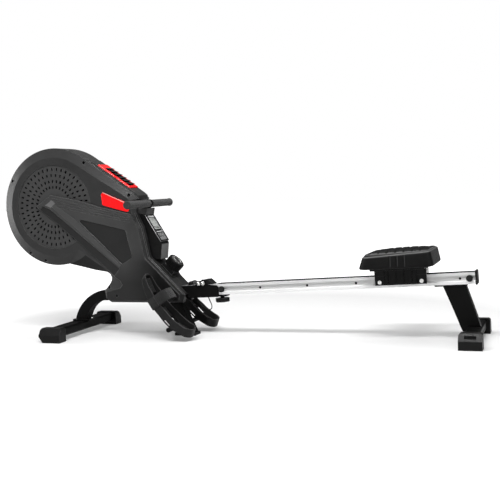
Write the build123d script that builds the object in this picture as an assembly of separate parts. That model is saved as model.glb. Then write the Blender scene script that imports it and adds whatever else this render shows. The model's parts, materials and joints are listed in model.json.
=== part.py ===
from build123d import *
import math
import os

os.makedirs("parts", exist_ok=True)

# Overall sizes in millimetres: X runs from the fan to the rear foot, Y across, Z up from the floor
LENGTH = 2146.0
FRONT_WIDTH = 554.0
REAR_WIDTH = 420.0

# Fits and gaps shared by the whole machine
FIT = 0.05
SOFT_GAP = 0.3
SLIDE_GAP = 0.5

# Fan drum and housing
DRUM_R = 265.0
DRUM_FACE_R = 223.0
FAN_Z = 584.0
RIM_HALF = 60.0
COVER_HALF = 74.0
COVER_WALL = 3.0
GRILLE_R = 189.0
GRILLE_LAP = 6.0
GRILLE_THICK = 3.0
GRILLE_HUB_R = 30.0
GRILLE_RING_RADII = (170.0, 143.0, 116.0, 90.0)
GRILLE_COUNTS = (44, 39, 36, 32)
GRILLE_SLOT_LONG = 14.0
GRILLE_SLOT_WIDE = 7.5
PANEL_THICK = 6.0
PANEL_RECESS = 3.0
ACCENT_THICK = 3.0
ACCENT_ROUND = 11.0
HOUSING_BOTTOM = 150.0
NECK_ANGLE = 35.0
NECK_LENGTH = 300.0
NECK_CREST = 6.0
CREST_HALF = 46.0

# Red vent on the neck
VENT_START = 75.0
VENT_LENGTH = 188.0
VENT_HALF = 40.0
VENT_THICK = 6.0
VENT_SLOTS = 6
VENT_SLOT_WIDE = 12.5
VENT_BORDER = 12.0
VENT_HEAD = 32.0

# Front foot
FOOT_BEHIND_FAN = 67.5
BAR_W = 70.0
BAR_H = 40.0
BAR_BOTTOM = 18.0
BAR_ROUND = 10.0
TUBE_WALL = 3.0
CAP_W = 104.0
CAP_H = 62.0
CAP_LONG = 54.0
CAP_END = 6.0
CAP_TOE = 18.0
CAP_CORNER = 7.0
CAP_FACE_H = 32.0
CAP_SLOPE = 20.0
CAP_POCKET_W = 44.0
CAP_POCKET_H = 13.0
CAP_POCKET_DEEP = 4.0
POST_PLATE = 8.0
POST_PLATE_HALF = 34.0
POST_FRONT = 13.0
POST_BACK = 43.0
POST_BOLTS = (-19.5, 53.0)

# Spine: the fold pivot carries the rail line, which the main beam shares
FAN_TO_PIVOT = 699.0
PIVOT_Z = 231.0
RAIL_TILT = 2.46
PIVOT_ABOVE_RAIL = 30.0
WEDGE_END = 42.0
WEDGE_CREST = 20.0
WEDGE_HIGH = 15.0
RAIL_W = 50.0
RAIL_H = 46.0
RAIL_WALL = 3.0
RAIL_START = 22.0
BESIDE_RAIL = 1024.0
CHANNEL_H = 22.0
CHANNEL_DEEP = 8.0
BEAM_START = 490.0
BEAM_END = 14.0
BEAM_H = 48.0
PLATE = 5.0
BRACKET_BACK = 99.0
BRACKET_FRONT = 67.0
TONGUE_END = 99.0
TONGUE_HALF = 20.0
PIN_R = 5.0
STOP_BOLT_BACK = 21.0
NUT_R = 9.0
NUT_H = 8.0

# Lock knob under the tongue
LOCK_AT = 72.0
LOCK_R = 32.0
LOCK_HEAD = 17.0
LOCK_HUB_R = 9.0
LOCK_HUB = 8.0
LOCK_SCREW_R = 5.0

# Middle leg and pedal stop bar
LEG_TOP_FRONT = 176.0
LEG_TOP_BACK = 128.0
LEG_HALF = 20.0
LEG_CLEAR = 10.0
LEG_FOOT_X = 557.0
LEG_FOOT_LONG = 88.0
PAD_H = 12.0
PAD_HALF = 32.0
PAD_LIP = 4.0
STOP_BAR_R = 10.0
STOP_BAR_HALF = 186.0
STOP_BAR_ALONG = 174.3
STOP_BAR_TOUCH = 16.1

# Pedals
PEDAL_AXLE_BEHIND_FAN = 496.0
PEDAL_AXLE_Z = 194.0
PEDAL_AXLE_R = 8.0
PEDAL_ANGLE = 57.0
PEDAL_Y = 134.0
PEDAL_HEEL_HALF = 50.0
PEDAL_TOE_HALF = 46.0
PEDAL_TOE_TIP = 31.0
PEDAL_TOE_END = 86.0
PEDAL_TOE_ROUND = 30.0
PEDAL_HEEL_ROUND = 44.0
PEDAL_HEEL_FOOT = (252.0, 57.0)
PEDAL_HEEL_RIM = (230.0, 86.0)
PEDAL_WIDENS = (100.0, 125.0)
PEDAL_BELOW = 20.0
PEDAL_ABOVE = 180.0
PEDAL_WALL = 6.0
PEDAL_SOLE = 9.0
PEDAL_HUB_R = 13.0
PEDAL_HUB_LONG = 52.0
PEDAL_HUB_END = 4.0
STRAP_START = 20.0
STRAP_WIDE = 48.0
STRAP_THICK = 3.0
STRAP_LOW = -4.3
STRAP_SHOULDER = 68.0
STRAP_TOP = 85.0

# Fan, flywheel, spool, belt and brake inside the covers
FORK_IN = 62.0
FORK_THICK = 4.0
FORK_R = 22.0
FORK_FOOT_X = 421.0
FORK_ARM_R = 20.0
SHAFT_R = 6.0
NUT_THIN = 4.5
FAN_R = 225.0
FAN_HALF = 38.0
FAN_BLADES = 12
FAN_HUB_R = 40.0
FLYWHEEL_R = 150.0
FLYWHEEL_IN = 44.0
FLYWHEEL_THICK = 8.0
BEARING_R = 16.0
BEARING_W = 10.0
FAN_PULLEY_R = 24.0
PULLEY_IN = 47.0
PULLEY_W = 10.0
BELT_THICK = 2.5
BELT_W = 8.0
SPOOL_BEHIND_FAN = 311.0
SPOOL_R = 45.0
SPOOL_PULLEY_R = 60.0
SPOOL_FLANGE = 3.0
SPOOL_LIP = 7.0
WEB_HALF = 14.0
WEB_THICK = 1.6
BRAKE_PIVOT = (261.0, 610.0)
BRAKE_TIP = (122.0, 641.0)
BRAKE_R = 12.0
BRAKE_THICK = 3.5
MAGNET_LONG = 30.0
MAGNET_WIDE = 18.0
MAGNET_THICK = 4.0

# Handle
HANDLE_BEHIND_FAN = 443.4
HANDLE_Z = 583.2
HANDLE_LENGTH = 421.0
HANDLE_BAR_R = 12.5
GRIP_R = 16.5
GRIP_END_R = 18.0
GRIP_END = 7.0
COLLAR_R = 19.0
COLLAR_HALF = 6.0

# Console
CONSOLE_HALF = 38.0
CONSOLE_TOP = (438.0, 533.0)
CONSOLE_LOW = (509.0, 415.0)
CONSOLE_CHIN = (505.0, 338.0)
CONSOLE_WALL = 3.0
FACE_THICK = 3.0
LENS_W = 52.0
LENS_H = 58.0
LENS_THICK = 2.0
BUTTON_R = 7.0
BUTTON_APART = 26.0
BUTTON_TALL = 7.0

# Resistance knob on the sloped front
KNOB_ALONG = 88.0
KNOB_BASE = 60.0
KNOB_BASE_H = 24.0
KNOB_R = 38.0
KNOB_H = 36.0
KNOB_POST_R = 8.0
KNOB_SOCKET = 6.0
KNOB_SOCKET_R = 4.0
KNOB_RIBS = 18
DIAL_R = 31.0
DIAL_DEEP = 3.0
DIAL_PROUD = 1.5

# Seat and carriage, along the rail
SEAT_BACK = 289.0
SEAT_LONG = 282.0
SEAT_W = 270.0
SEAT_BOTTOM = 31.0
SEAT_THICK = 66.0
SEAT_CORNER = 34.0
SEAT_GROOVES = (-20.0, 8.0, 36.0)
SEAT_BOARD = 9.0
BOARD_INSET = 34.0
CARRIAGE_LONG = 206.0
CARRIAGE_DROP = 43.0
CARRIAGE_IN = 27.0
CARRIAGE_THICK = 6.0
CARRIAGE_RELIEF = 3.0
CARRIAGE_LEDGE = -5.0
CARRIAGE_STRIPS = (-62.0, -47.0, -15.0, 16.0, 48.0, 64.0)
ROLLER_SPREAD = 167.0
ROLLER_R = 10.7
ROLLER_W = 6.0
ROLLER_BOLT_R = 4.0

# Rail stops, screws and rear leg
STOP_R = 13.0
STOP_OUT = 8.0
STOP_FRONT = 81.0
STOP_BACK = 22.0
SCREW_FIRST = 255.0
SCREW_BACK = 59.0
SCREW_COUNT = 5
REAR_CAP_W = 89.0
REAR_BAR_W = 60.0
REAR_LEG_W = 88.0
REAR_LEG_BACK = 40.0
REAR_LEG_HALF = 20.0
REAR_LEG_BEND = ((-92.5, 155.0), (-70.5, 100.0), (-55.5, 60.0))
REAR_LEG_HEEL = 23.5
REAR_LEG_SEAT = 8.0
REAR_LEG_SADDLE = 20.0

# Derived places
FAN_X = DRUM_R - LENGTH / 2
FOOT_X = FAN_X + FOOT_BEHIND_FAN
PIVOT_X = FAN_X + FAN_TO_PIVOT
PEDAL_X = FAN_X + PEDAL_AXLE_BEHIND_FAN
HANDLE_X = FAN_X + HANDLE_BEHIND_FAN
SPOOL_X = FAN_X + SPOOL_BEHIND_FAN
SPOOL_Z = HANDLE_Z - WEB_THICK / 2 - SOFT_GAP - SPOOL_R
REAR_FOOT_X = LENGTH / 2 - REAR_CAP_W / 2
RAIL_LENGTH = LENGTH - BESIDE_RAIL
RAIL_END = RAIL_START + RAIL_LENGTH
SEAT_AT = RAIL_END - SEAT_BACK
STOP_REAR = RAIL_END - STOP_BACK
SCREW_STEP = (RAIL_END - SCREW_BACK - SCREW_FIRST) / (SCREW_COUNT - 1)
REAR_LEG_TOP = RAIL_END - REAR_LEG_BACK - REAR_LEG_W
CHEEK_IN = RAIL_W / 2 + SLIDE_GAP
CHEEK_OUT = CHEEK_IN + PLATE
RAIL_TOP = RAIL_H / 2 - PIVOT_ABOVE_RAIL
RAIL_BOTTOM = -RAIL_H / 2 - PIVOT_ABOVE_RAIL
PLATE_TOP = RAIL_BOTTOM - 4.0
BEAM_TOP = PLATE_TOP + BEAM_H
CHANNEL_FLOOR = RAIL_W / 2 - CHANNEL_DEEP
FACE_IN = COVER_HALF - COVER_WALL
PANEL_OUT = COVER_HALF + PANEL_THICK
ON_RAIL = Pos(PIVOT_X, 0, PIVOT_Z) * Rot(0, -RAIL_TILT, 0)
ON_PEDAL = Pos(PEDAL_X, 0, PEDAL_AXLE_Z) * Rot(0, PEDAL_ANGLE, 0)


def beside_fan(points):
    """Points given as distance behind the fan centre and height, in the machine's frame."""
    return [(FAN_X + x, z) for x, z in points]


def prism(outline, y_low, y_high):
    """Solid between two Y planes from an outline, or a ready face, in X and Z."""
    face = make_face(Polyline(*outline, close=True)) if isinstance(outline, list) else outline
    return Pos(0, y_high, 0) * Rot(90, 0, 0) * extrude(face, y_high - y_low)


def rounded(outline, radius):
    """Outline as a face with its corners rounded."""
    face = make_face(Polyline(*outline, close=True))
    return fillet(face.vertices(), radius)


def rod(x, z, radius, y_low, y_high):
    """Round bar along Y."""
    return Pos(x, (y_low + y_high) / 2, z) * Rot(90, 0, 0) * Cylinder(radius, y_high - y_low)


def box(x_low, x_high, y_low, y_high, z_low, z_high):
    """Block between its limits."""
    centre = Pos((x_low + x_high) / 2, (y_low + y_high) / 2, (z_low + z_high) / 2)
    return centre * Box(x_high - x_low, y_high - y_low, z_high - z_low)


def link(start, end, radius):
    """Flat bar with round ends between two points, as a face."""
    span = math.dist(start, end)
    turn = math.degrees(math.atan2(end[1] - start[1], end[0] - start[0]))
    middle = Pos((start[0] + end[0]) / 2, (start[1] + end[1]) / 2)
    return middle * Rot(0, 0, turn) * SlotCenterToCenter(span, 2 * radius)


def both_sides(shape):
    """A shape and its mirror image across the mid-plane."""
    return [shape, mirror(shape, about=Plane.XZ)]


def save(node, *shapes):
    """Write one node, keeping each of its solids apart."""
    solids = [solid for shape in shapes for solid in shape.solids()]
    export_step(solids[0] if len(solids) == 1 else Compound(solids), f"parts/{node}.step")


# Front foot: oval bar with end caps
def oval_section(centre_x, width, grow):
    face = Pos(centre_x, BAR_BOTTOM + BAR_H / 2) * RectangleRounded(
        width + 2 * grow, BAR_H + 2 * grow, BAR_ROUND + grow
    )
    return face


def stabilizer(centre_x, width, overall):
    reach = overall / 2 - cap_stop()
    outer = prism(oval_section(centre_x, width, 0), -reach, reach)
    return outer - prism(oval_section(centre_x, width, -TUBE_WALL), -reach, reach)


def foot_cap(centre_x, cap_width, bar_width, overall, toe):
    """End cap with a sloped upper end; the lower front corner is cut back by the toe size."""
    half = cap_width / 2
    profile = [
        (centre_x - half + toe, 0), (centre_x + half, 0),
        (centre_x + half, CAP_H - CAP_CORNER), (centre_x + half - CAP_CORNER, CAP_H),
        (centre_x - half + CAP_CORNER, CAP_H), (centre_x - half, CAP_H - CAP_CORNER),
        (centre_x - half, 1.4 * toe + 1),
    ]
    end = overall / 2
    cap = prism(profile, -end, CAP_LONG - end)
    reach = 2 * CAP_H
    slope = [(-end - 1, CAP_FACE_H), (CAP_SLOPE - end, CAP_H + 1), (-end - 1, CAP_H + 1)]
    side = Plane(origin=(centre_x - reach / 2, 0, 0), x_dir=(0, 1, 0), z_dir=(1, 0, 0))
    cap -= side * extrude(make_face(Polyline(*slope, close=True)), reach)
    return cap - prism(oval_section(centre_x, bar_width, FIT), cap_stop() - end, CAP_LONG - end)


def cap_stop():
    """How far in from the cap's end the bar stops, behind the sloped face."""
    return CAP_END + CAP_SLOPE


def cap_pocket(centre_x, overall):
    """Shallow pocket in the middle of the sloped face."""
    lean = math.degrees(math.atan2(CAP_SLOPE, CAP_H - CAP_FACE_H))
    middle = Pos(centre_x, CAP_SLOPE / 2 - overall / 2, (CAP_FACE_H + CAP_H) / 2)
    return middle * Rot(-lean, 0, 0) * Box(CAP_POCKET_W, 2 * CAP_POCKET_DEEP, CAP_POCKET_H)


save("front_stabilizer", stabilizer(FOOT_X, BAR_W, FRONT_WIDTH))
save("front_caps", *both_sides(foot_cap(FOOT_X, CAP_W, BAR_W, FRONT_WIDTH, CAP_TOE)))


# Main frame: curved front post that runs on as the beam
def post_face(inset):
    bar_top = BAR_BOTTOM + BAR_H + POST_PLATE
    beam_at = ON_RAIL * Pos(-BEAM_START, 0, 0)
    top = (beam_at * Pos(0, 0, BEAM_TOP)).position
    low = (beam_at * Pos(0, 0, PLATE_TOP)).position
    front = FOOT_X - POST_FRONT
    back = FOOT_X + POST_BACK
    edges = [
        Line((front + inset, bar_top), (front + inset, bar_top + POST_PLATE)),
        ThreePointArc((front + inset, bar_top + POST_PLATE), (front + 70 + inset, 168 - inset),
                      (top.X, top.Z - inset)),
        Line((top.X, top.Z - inset), (low.X, low.Z + inset)),
        ThreePointArc((low.X, low.Z + inset), (back + 29 - inset, 124 + inset),
                      (back - inset, bar_top + POST_PLATE)),
        Line((back - inset, bar_top + POST_PLATE), (back - inset, bar_top)),
        Line((back - inset, bar_top), (front + inset, bar_top)),
    ]
    return make_face(edges)


def beam_section(inset, start, end):
    half = CHEEK_IN - inset
    return ON_RAIL * box(start, end, -half, half, PLATE_TOP + inset, BEAM_TOP - inset)


def main_frame():
    bar_top = BAR_BOTTOM + BAR_H
    spine = prism(post_face(0), -CHEEK_IN, CHEEK_IN) + beam_section(0, -BEAM_START - 2, -BEAM_END)
    hollow = prism(post_face(TUBE_WALL), TUBE_WALL - CHEEK_IN, CHEEK_IN - TUBE_WALL)
    hollow += beam_section(TUBE_WALL, -BEAM_START - 6, -BEAM_END)
    low = FOOT_X + POST_BOLTS[0] - 7
    high = FOOT_X + POST_BOLTS[1] + 7
    foot = box(low, high, -POST_PLATE_HALF, POST_PLATE_HALF, bar_top, bar_top + POST_PLATE)
    axle = rod(PEDAL_X, PEDAL_AXLE_Z, PEDAL_AXLE_R + FIT, -COVER_HALF, COVER_HALF)
    return spine - hollow + foot - axle


save("main_frame", main_frame())


# Hinge bracket: two cheeks and a bottom plate that runs on as the tongue
def hinge_bracket():
    lug = PIN_R + 6.0
    cheek = [
        (-BRACKET_BACK, PLATE_TOP - PLATE), (-BRACKET_BACK, BEAM_TOP),
        (-STOP_BOLT_BACK - lug - 6, BEAM_TOP), (-STOP_BOLT_BACK - lug, lug), (lug, lug),
        (2 * lug, RAIL_TOP), (BRACKET_FRONT - 7, RAIL_TOP - 5), (BRACKET_FRONT, RAIL_TOP - 12),
        (BRACKET_FRONT, PLATE_TOP - PLATE),
    ]
    body = prism(rounded(cheek, 2.0), -CHEEK_OUT, CHEEK_OUT)
    body -= box(-BRACKET_BACK - 1, BRACKET_FRONT + 1, -CHEEK_IN, CHEEK_IN, PLATE_TOP, lug + 1)
    body += box(0, TONGUE_END, -TONGUE_HALF, TONGUE_HALF, PLATE_TOP - PLATE, PLATE_TOP)
    for along in (0, -STOP_BOLT_BACK):
        body -= rod(along, 0, PIN_R + FIT, -CHEEK_OUT - 1, CHEEK_OUT + 1)
    body -= Pos(LOCK_AT, 0, PLATE_TOP) * Cylinder(LOCK_SCREW_R + FIT, 4 * PLATE)
    return ON_RAIL * body


def dome_nut(along):
    nut = rod(along, 0, NUT_R, CHEEK_OUT, CHEEK_OUT + NUT_H)
    dome = Pos(along, CHEEK_OUT + NUT_H, 0) * Sphere(NUT_R - 1)
    nut += dome & rod(along, 0, NUT_R, CHEEK_OUT + NUT_H, CHEEK_OUT + NUT_H + NUT_R)
    return nut - rod(along, 0, PIN_R + FIT, CHEEK_OUT, CHEEK_OUT + NUT_H / 2)


def hinge_bolts():
    pieces = []
    for along in (0, -STOP_BOLT_BACK):
        reach = CHEEK_OUT + NUT_H / 2
        pieces.append(ON_RAIL * rod(along, 0, PIN_R, -reach, reach))
        pieces += both_sides(ON_RAIL * dome_nut(along))
    return pieces


save("hinge_bracket", hinge_bracket())
save("hinge_bolts", *hinge_bolts())


# Lock knob: lobed head, hub and screw, tip level with the tongue's top face
def lock_knob():
    hub_top = PLATE_TOP - PLATE
    head = Circle(LOCK_R - 3)
    for lobe in range(6):
        head += Rot(0, 0, 60 * lobe) * Pos(LOCK_R - 9, 0) * Circle(9)
    knob = Pos(0, 0, hub_top - LOCK_HUB - LOCK_HEAD) * extrude(head, LOCK_HEAD)
    knob = chamfer(knob.faces().sort_by(Axis.Z)[0].edges(), 2)
    knob += Pos(0, 0, hub_top - LOCK_HUB / 2) * Cylinder(LOCK_HUB_R, LOCK_HUB)
    knob += Pos(0, 0, PLATE_TOP - PLATE / 2) * Cylinder(LOCK_SCREW_R, PLATE)
    return ON_RAIL * Pos(LOCK_AT, 0, 0) * knob


save("lock_knob", lock_knob())


# Middle leg with the bar that the pedals rest against
def middle_leg():
    top = [(ON_RAIL * Pos(-along, 0, PLATE_TOP)).position for along in (LEG_TOP_FRONT, LEG_TOP_BACK)]
    foot = FAN_X + LEG_FOOT_X
    outline = [(top[0].X, top[0].Z), (top[1].X, top[1].Z), (foot + LEG_FOOT_LONG, PAD_H), (foot, PAD_H)]
    inner = [
        (top[0].X + TUBE_WALL, top[0].Z + 9), (top[1].X - TUBE_WALL, top[1].Z + 9),
        (foot + LEG_FOOT_LONG - 3 * TUBE_WALL, PAD_H + TUBE_WALL), (foot + TUBE_WALL, PAD_H + TUBE_WALL),
    ]
    leg = prism(outline, -LEG_HALF, LEG_HALF)
    leg -= prism(inner, TUBE_WALL - LEG_HALF, LEG_HALF - TUBE_WALL)
    bar = (ON_PEDAL * Pos(STOP_BAR_ALONG, 0, STOP_BAR_TOUCH - STOP_BAR_R - SOFT_GAP)).position
    return leg + rod(bar.X, bar.Z, STOP_BAR_R, -STOP_BAR_HALF, STOP_BAR_HALF)


save("middle_leg", middle_leg())
foot_front = FAN_X + LEG_FOOT_X - PAD_LIP
foot_back = FAN_X + LEG_FOOT_X + LEG_FOOT_LONG + PAD_LIP
save("middle_foot_pad", box(foot_front, foot_back, -PAD_HALF, PAD_HALF, 0, PAD_H))


# Housing covers: drum, neck and body in two halves
def neck_point(along, above):
    """Place on the neck's top line, which leaves the drum at a tangent."""
    turn = math.radians(NECK_ANGLE)
    reach = DRUM_R + above
    x = FAN_X + reach * math.sin(turn) + along * math.cos(turn)
    return (x, FAN_Z + reach * math.cos(turn) - along * math.sin(turn))


SHELL_POINTS = [
    ((417, 606), (384, 602)), ((409, 600), (388, 590)), ((409, 545), (392, 545)), ((421, 515), (404, 512)),
    ((437, 480), (424, 477)), ((463, 350), (450, 345)), ((625, 186), (607, 187)),
    ((611, HOUSING_BOTTOM), (599, HOUSING_BOTTOM + 10)), ((264, HOUSING_BOTTOM), (272, HOUSING_BOTTOM + 8)),
    ((236, 168), (250, 174)), ((232, 204), (248, 198)), ((243, 214), (294, 210)), ((259, 232), (319, 216)),
    ((267, 245), (330, 230)), ((271, 259), (321, 248)), ((264, 276), (302, 261)), ((250, 286), (283, 279)),
    ((187, 296), (240, 318)), ((131, 309), (180, 352)), ((62, 324), (100, 400)), ((0, FAN_Z), (0, FAN_Z)),
]


def body_outline():
    """Housing outline where its side walls start, clockwise from the neck."""
    return [neck_point(0, 0), neck_point(NECK_LENGTH, 0)] + beside_fan([rim for rim, face in SHELL_POINTS])


def face_outline():
    """Housing outline on its flat side, point for point with the body's."""
    turn = math.radians(NECK_ANGLE)
    start = (FAN_X + DRUM_FACE_R * math.sin(turn), FAN_Z + DRUM_FACE_R * math.cos(turn))
    return [start, (FAN_X + 375, 612)] + beside_fan([face for rim, face in SHELL_POINTS])


def crest(above):
    """Raised strip along the middle of the neck, down to its nose."""
    nose = beside_fan([(415, 622), (417, 606), (300, 606)])
    return [neck_point(0, 0), neck_point(40, above), neck_point(NECK_LENGTH, above)] + nose


def place_outline(outline, y):
    return Pos(0, y, 0) * Rot(90, 0, 0) * make_face(Polyline(*outline, close=True))


def cover_block():
    block = rod(FAN_X, FAN_Z, DRUM_R, -RIM_HALF, 0)
    shoulder = Pos(FAN_X, -(RIM_HALF + COVER_HALF) / 2, FAN_Z) * Rot(90, 0, 0)
    block += shoulder * Cone(DRUM_R, DRUM_FACE_R, COVER_HALF - RIM_HALF)
    block += prism(body_outline(), -RIM_HALF, 0)
    sides = [place_outline(body_outline(), -RIM_HALF), place_outline(face_outline(), -COVER_HALF)]
    block += loft(sides, ruled=True)
    return block + prism(crest(NECK_CREST), -CREST_HALF, 0)


def inset(outline, amount):
    return offset(make_face(Polyline(*outline, close=True)), -amount, kind=Kind.INTERSECTION)


def cover_hollow():
    hollow = rod(FAN_X, FAN_Z, DRUM_R - COVER_WALL, COVER_WALL - RIM_HALF, 1)
    hollow += rod(FAN_X, FAN_Z, DRUM_FACE_R - COVER_WALL, -FACE_IN, 1)
    hollow += prism(inset(body_outline(), COVER_WALL), COVER_WALL - RIM_HALF, 1)
    return hollow + prism(inset(face_outline(), COVER_WALL), -FACE_IN, 1)


def vent_at(along, above):
    x, z = neck_point(along, above)
    return Pos(x, 0, z) * Rot(0, NECK_ANGLE, 0)


SCREW_R = 6.5
SCREW_DEEP = 6.0
SCREW_RING = 251.0
SCREW_ANGLES = (50, 150, 235.5, 255)
SCREW_SPOTS = [
    (FAN_X + SCREW_RING * math.cos(math.radians(turn)), FAN_Z + SCREW_RING * math.sin(math.radians(turn)))
    for turn in SCREW_ANGLES
] + beside_fan([(379, 624), (256, 217)])
PANEL_SCREW = beside_fan([(301, 181)])[0]


def cover_openings():
    """What is cut from a cover half: grille, vent, strap slot, beam, leg, axle and screw holes."""
    cuts = rod(FAN_X, FAN_Z, GRILLE_R, -COVER_HALF - 1, -FACE_IN + 1)
    vent = box(VENT_HEAD, VENT_LENGTH - VENT_BORDER, VENT_BORDER - VENT_HALF, 1, -30, NECK_CREST + 2)
    cuts += vent_at(VENT_START, 0) * vent
    slot_half = WEB_HALF + 4
    cuts += box(HANDLE_X - 60, HANDLE_X - 10, -slot_half, 1, HANDLE_Z - 8, HANDLE_Z + 8)
    beam_gap = CHEEK_IN + 2
    cuts += ON_RAIL * box(-BEAM_START - 60, -BEAM_START + 120, -beam_gap, 1, PLATE_TOP - 2, BEAM_TOP + 2)
    bracket_gap = CHEEK_OUT + 2
    leg_front = -LEG_TOP_FRONT - LEG_CLEAR
    cuts += ON_RAIL * box(leg_front, 60, -bracket_gap, 1, PLATE_TOP - PLATE - 30, BEAM_TOP + 3)
    cuts += rod(PEDAL_X, PEDAL_AXLE_Z, PEDAL_AXLE_R + SLIDE_GAP, -PANEL_OUT - 1, -CHEEK_IN)
    cuts += knob_seat() * Cylinder(6, 30)
    for x, z in SCREW_SPOTS:
        cuts += rod(x, z, SCREW_R + FIT, -COVER_HALF - 1, -RIM_HALF + SCREW_DEEP)
    return cuts


def knob_seat():
    """Middle of the resistance knob's foot on the sloped front, Z square to the slope."""
    top = beside_fan([(463, 350)])[0]
    low = beside_fan([(625, 186)])[0]
    run = math.dist(top, low)
    share = KNOB_ALONG / run
    fall = math.degrees(math.atan2(top[1] - low[1], low[0] - top[0]))
    spot = Pos(top[0] + share * (low[0] - top[0]), 0, top[1] + share * (low[1] - top[1]))
    return spot * Rot(0, fall, 0)


left_cover = cover_block() - cover_hollow() - cover_openings()
save("left_cover", left_cover)
save("right_cover", mirror(left_cover, about=Plane.XZ))


def cover_screws():
    pieces = []
    for x, z in SCREW_SPOTS:
        pieces += both_sides(rod(x, z, SCREW_R, -RIM_HALF - 1, -RIM_HALF + SCREW_DEEP))
    return pieces + both_sides(rod(*PANEL_SCREW, SCREW_R, -COVER_HALF - 3, -COVER_HALF))


save("cover_screws", *cover_screws())


# Grilles: one holed disc behind each cover's face ring
def grille():
    holes = []
    for ring, count in zip(GRILLE_RING_RADII, GRILLE_COUNTS):
        for index in range(count):
            slot = Pos(ring, 0) * SlotOverall(GRILLE_SLOT_LONG, GRILLE_SLOT_WIDE)
            holes.append((Rot(0, 0, 360 * index / count) * slot).face().outer_wire())
    holes.append(Circle(GRILLE_HUB_R).face().outer_wire())
    face = Face(Circle(GRILLE_R + GRILLE_LAP).face().outer_wire(), holes)
    placed = Pos(FAN_X, -FACE_IN + GRILLE_THICK, FAN_Z) * Rot(90, 0, 0)
    return placed * extrude(face, GRILLE_THICK)


left_grille = grille()
save("left_grille", left_grille)
save("right_grille", mirror(left_grille, about=Plane.XZ))


# Side panels: the arrow-shaped arm over the drum and the body's flank
ARM_POINTS = [(-90, 588), (-12, 639), (122, 612), (241, 577), (388, 542)]
TAIL_POINTS = [(264, 297), (225, 333), (129, 415), (31, 498)]
RECESS_POINTS = [(114, 530), (360, 473), (388, 350), (336, 321)]
STEP_POINTS = [(-55, 590), (-17, 574), (322, 302), (286, 262), (80, 400), (-95, 550)]
GEM_POINTS = [(-41, 594), (-8, 617), (14, 602), (-13, 579)]
ACCENT_POINTS = [(246, 645), (251, 584), (386, 547), (376, 591)]
RIDGE_STARTS = [(-4, 628), (2, 614), (22, 597), (24, 583)]
RIDGE_ENDS = [(386, 533), (385, 525), (384, 516), (382, 507)]
RIDGE_HALF = 1.2
RIDGE_DEEP = 1.5
STEP_DEEP = 2.6
GEM_DEEP = 1.0


def side_panel():
    flank = face_outline()[5:19]
    outline = beside_fan(ARM_POINTS) + flank + beside_fan(TAIL_POINTS)
    panel = prism(rounded(outline, 4.0), -PANEL_OUT, -COVER_HALF)
    panel = chamfer(panel.faces().sort_by(Axis.Y)[0].edges(), 2)
    recess = rounded(beside_fan(RECESS_POINTS), 8.0)
    panel -= prism(recess, -PANEL_OUT - 1, -PANEL_OUT + PANEL_RECESS)
    panel -= prism(beside_fan(STEP_POINTS), -PANEL_OUT - 1, -PANEL_OUT + STEP_DEEP)
    panel -= prism(beside_fan(GEM_POINTS), -PANEL_OUT - 1, -PANEL_OUT + GEM_DEEP)
    for start, end in zip(beside_fan(RIDGE_STARTS), beside_fan(RIDGE_ENDS)):
        panel -= prism(link(start, end, RIDGE_HALF), -PANEL_OUT - 1, -PANEL_OUT + RIDGE_DEEP)
    panel -= rod(*PANEL_SCREW, SCREW_R + FIT, -PANEL_OUT - 1, -COVER_HALF + 1)
    return panel - rod(PEDAL_X, PEDAL_AXLE_Z, PEDAL_AXLE_R + SLIDE_GAP, -PANEL_OUT - 1, -COVER_HALF + 1)


def accent():
    quad = rounded(beside_fan(ACCENT_POINTS), ACCENT_ROUND)
    plate = prism(quad, -COVER_HALF - ACCENT_THICK, -COVER_HALF)
    return chamfer(plate.faces().sort_by(Axis.Y)[0].edges(), 1)


left_panel = side_panel()
save("left_side_panel", left_panel)
save("right_side_panel", mirror(left_panel, about=Plane.XZ))
save("side_accents", *both_sides(accent()))


# Red louvred vent on the neck
def top_vent():
    plate = box(0, VENT_LENGTH, -VENT_HALF, VENT_HALF, 0, VENT_THICK)
    plate = chamfer(plate.faces().sort_by(Axis.Z)[-1].edges(), 3)
    pitch = (VENT_LENGTH - VENT_HEAD - VENT_BORDER) / VENT_SLOTS
    for index in range(VENT_SLOTS):
        middle = Pos(VENT_HEAD + pitch * (index + 0.5), 0, VENT_THICK / 2)
        cut = Box(VENT_SLOT_WIDE, 2 * (VENT_HALF - VENT_BORDER), 4 * VENT_THICK)
        plate -= middle * Rot(0, 30, 0) * cut
    return vent_at(VENT_START, NECK_CREST) * plate


save("top_vent", top_vent())


# Forks that carry the fan and the spool inside the covers
FORK_FOOT = (FAN_X + FORK_FOOT_X, PIVOT_Z - 31.0)
FAN_CENTRE = (FAN_X, FAN_Z)
SPOOL_CENTRE = (SPOOL_X, SPOOL_Z)
BRAKE_CENTRE = (FAN_X + BRAKE_PIVOT[0], BRAKE_PIVOT[1])


def fork(with_brake):
    halfway = tuple((a + b) / 2 for a, b in zip(FAN_CENTRE, FORK_FOOT))
    face = link(FAN_CENTRE, FORK_FOOT, FORK_R) + link(halfway, SPOOL_CENTRE, FORK_ARM_R)
    if with_brake:
        face += link(SPOOL_CENTRE, BRAKE_CENTRE, FORK_ARM_R)
    plate = prism(face, -FORK_IN - FORK_THICK, -FORK_IN)
    x, z = FORK_FOOT
    plate += box(x - 14, x + 14, -FORK_IN, -CHEEK_IN, z - 14, z + 14)
    for x, z in (FAN_CENTRE, SPOOL_CENTRE):
        plate -= rod(x, z, SHAFT_R + FIT, -FORK_IN - FORK_THICK - 1, -FORK_IN + 1)
    if with_brake:
        plate += rod(*BRAKE_CENTRE, SHAFT_R, -FORK_IN, -FORK_IN + BRAKE_THICK)
    return plate


save("fan_forks", fork(True), mirror(fork(False), about=Plane.XZ))


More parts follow.
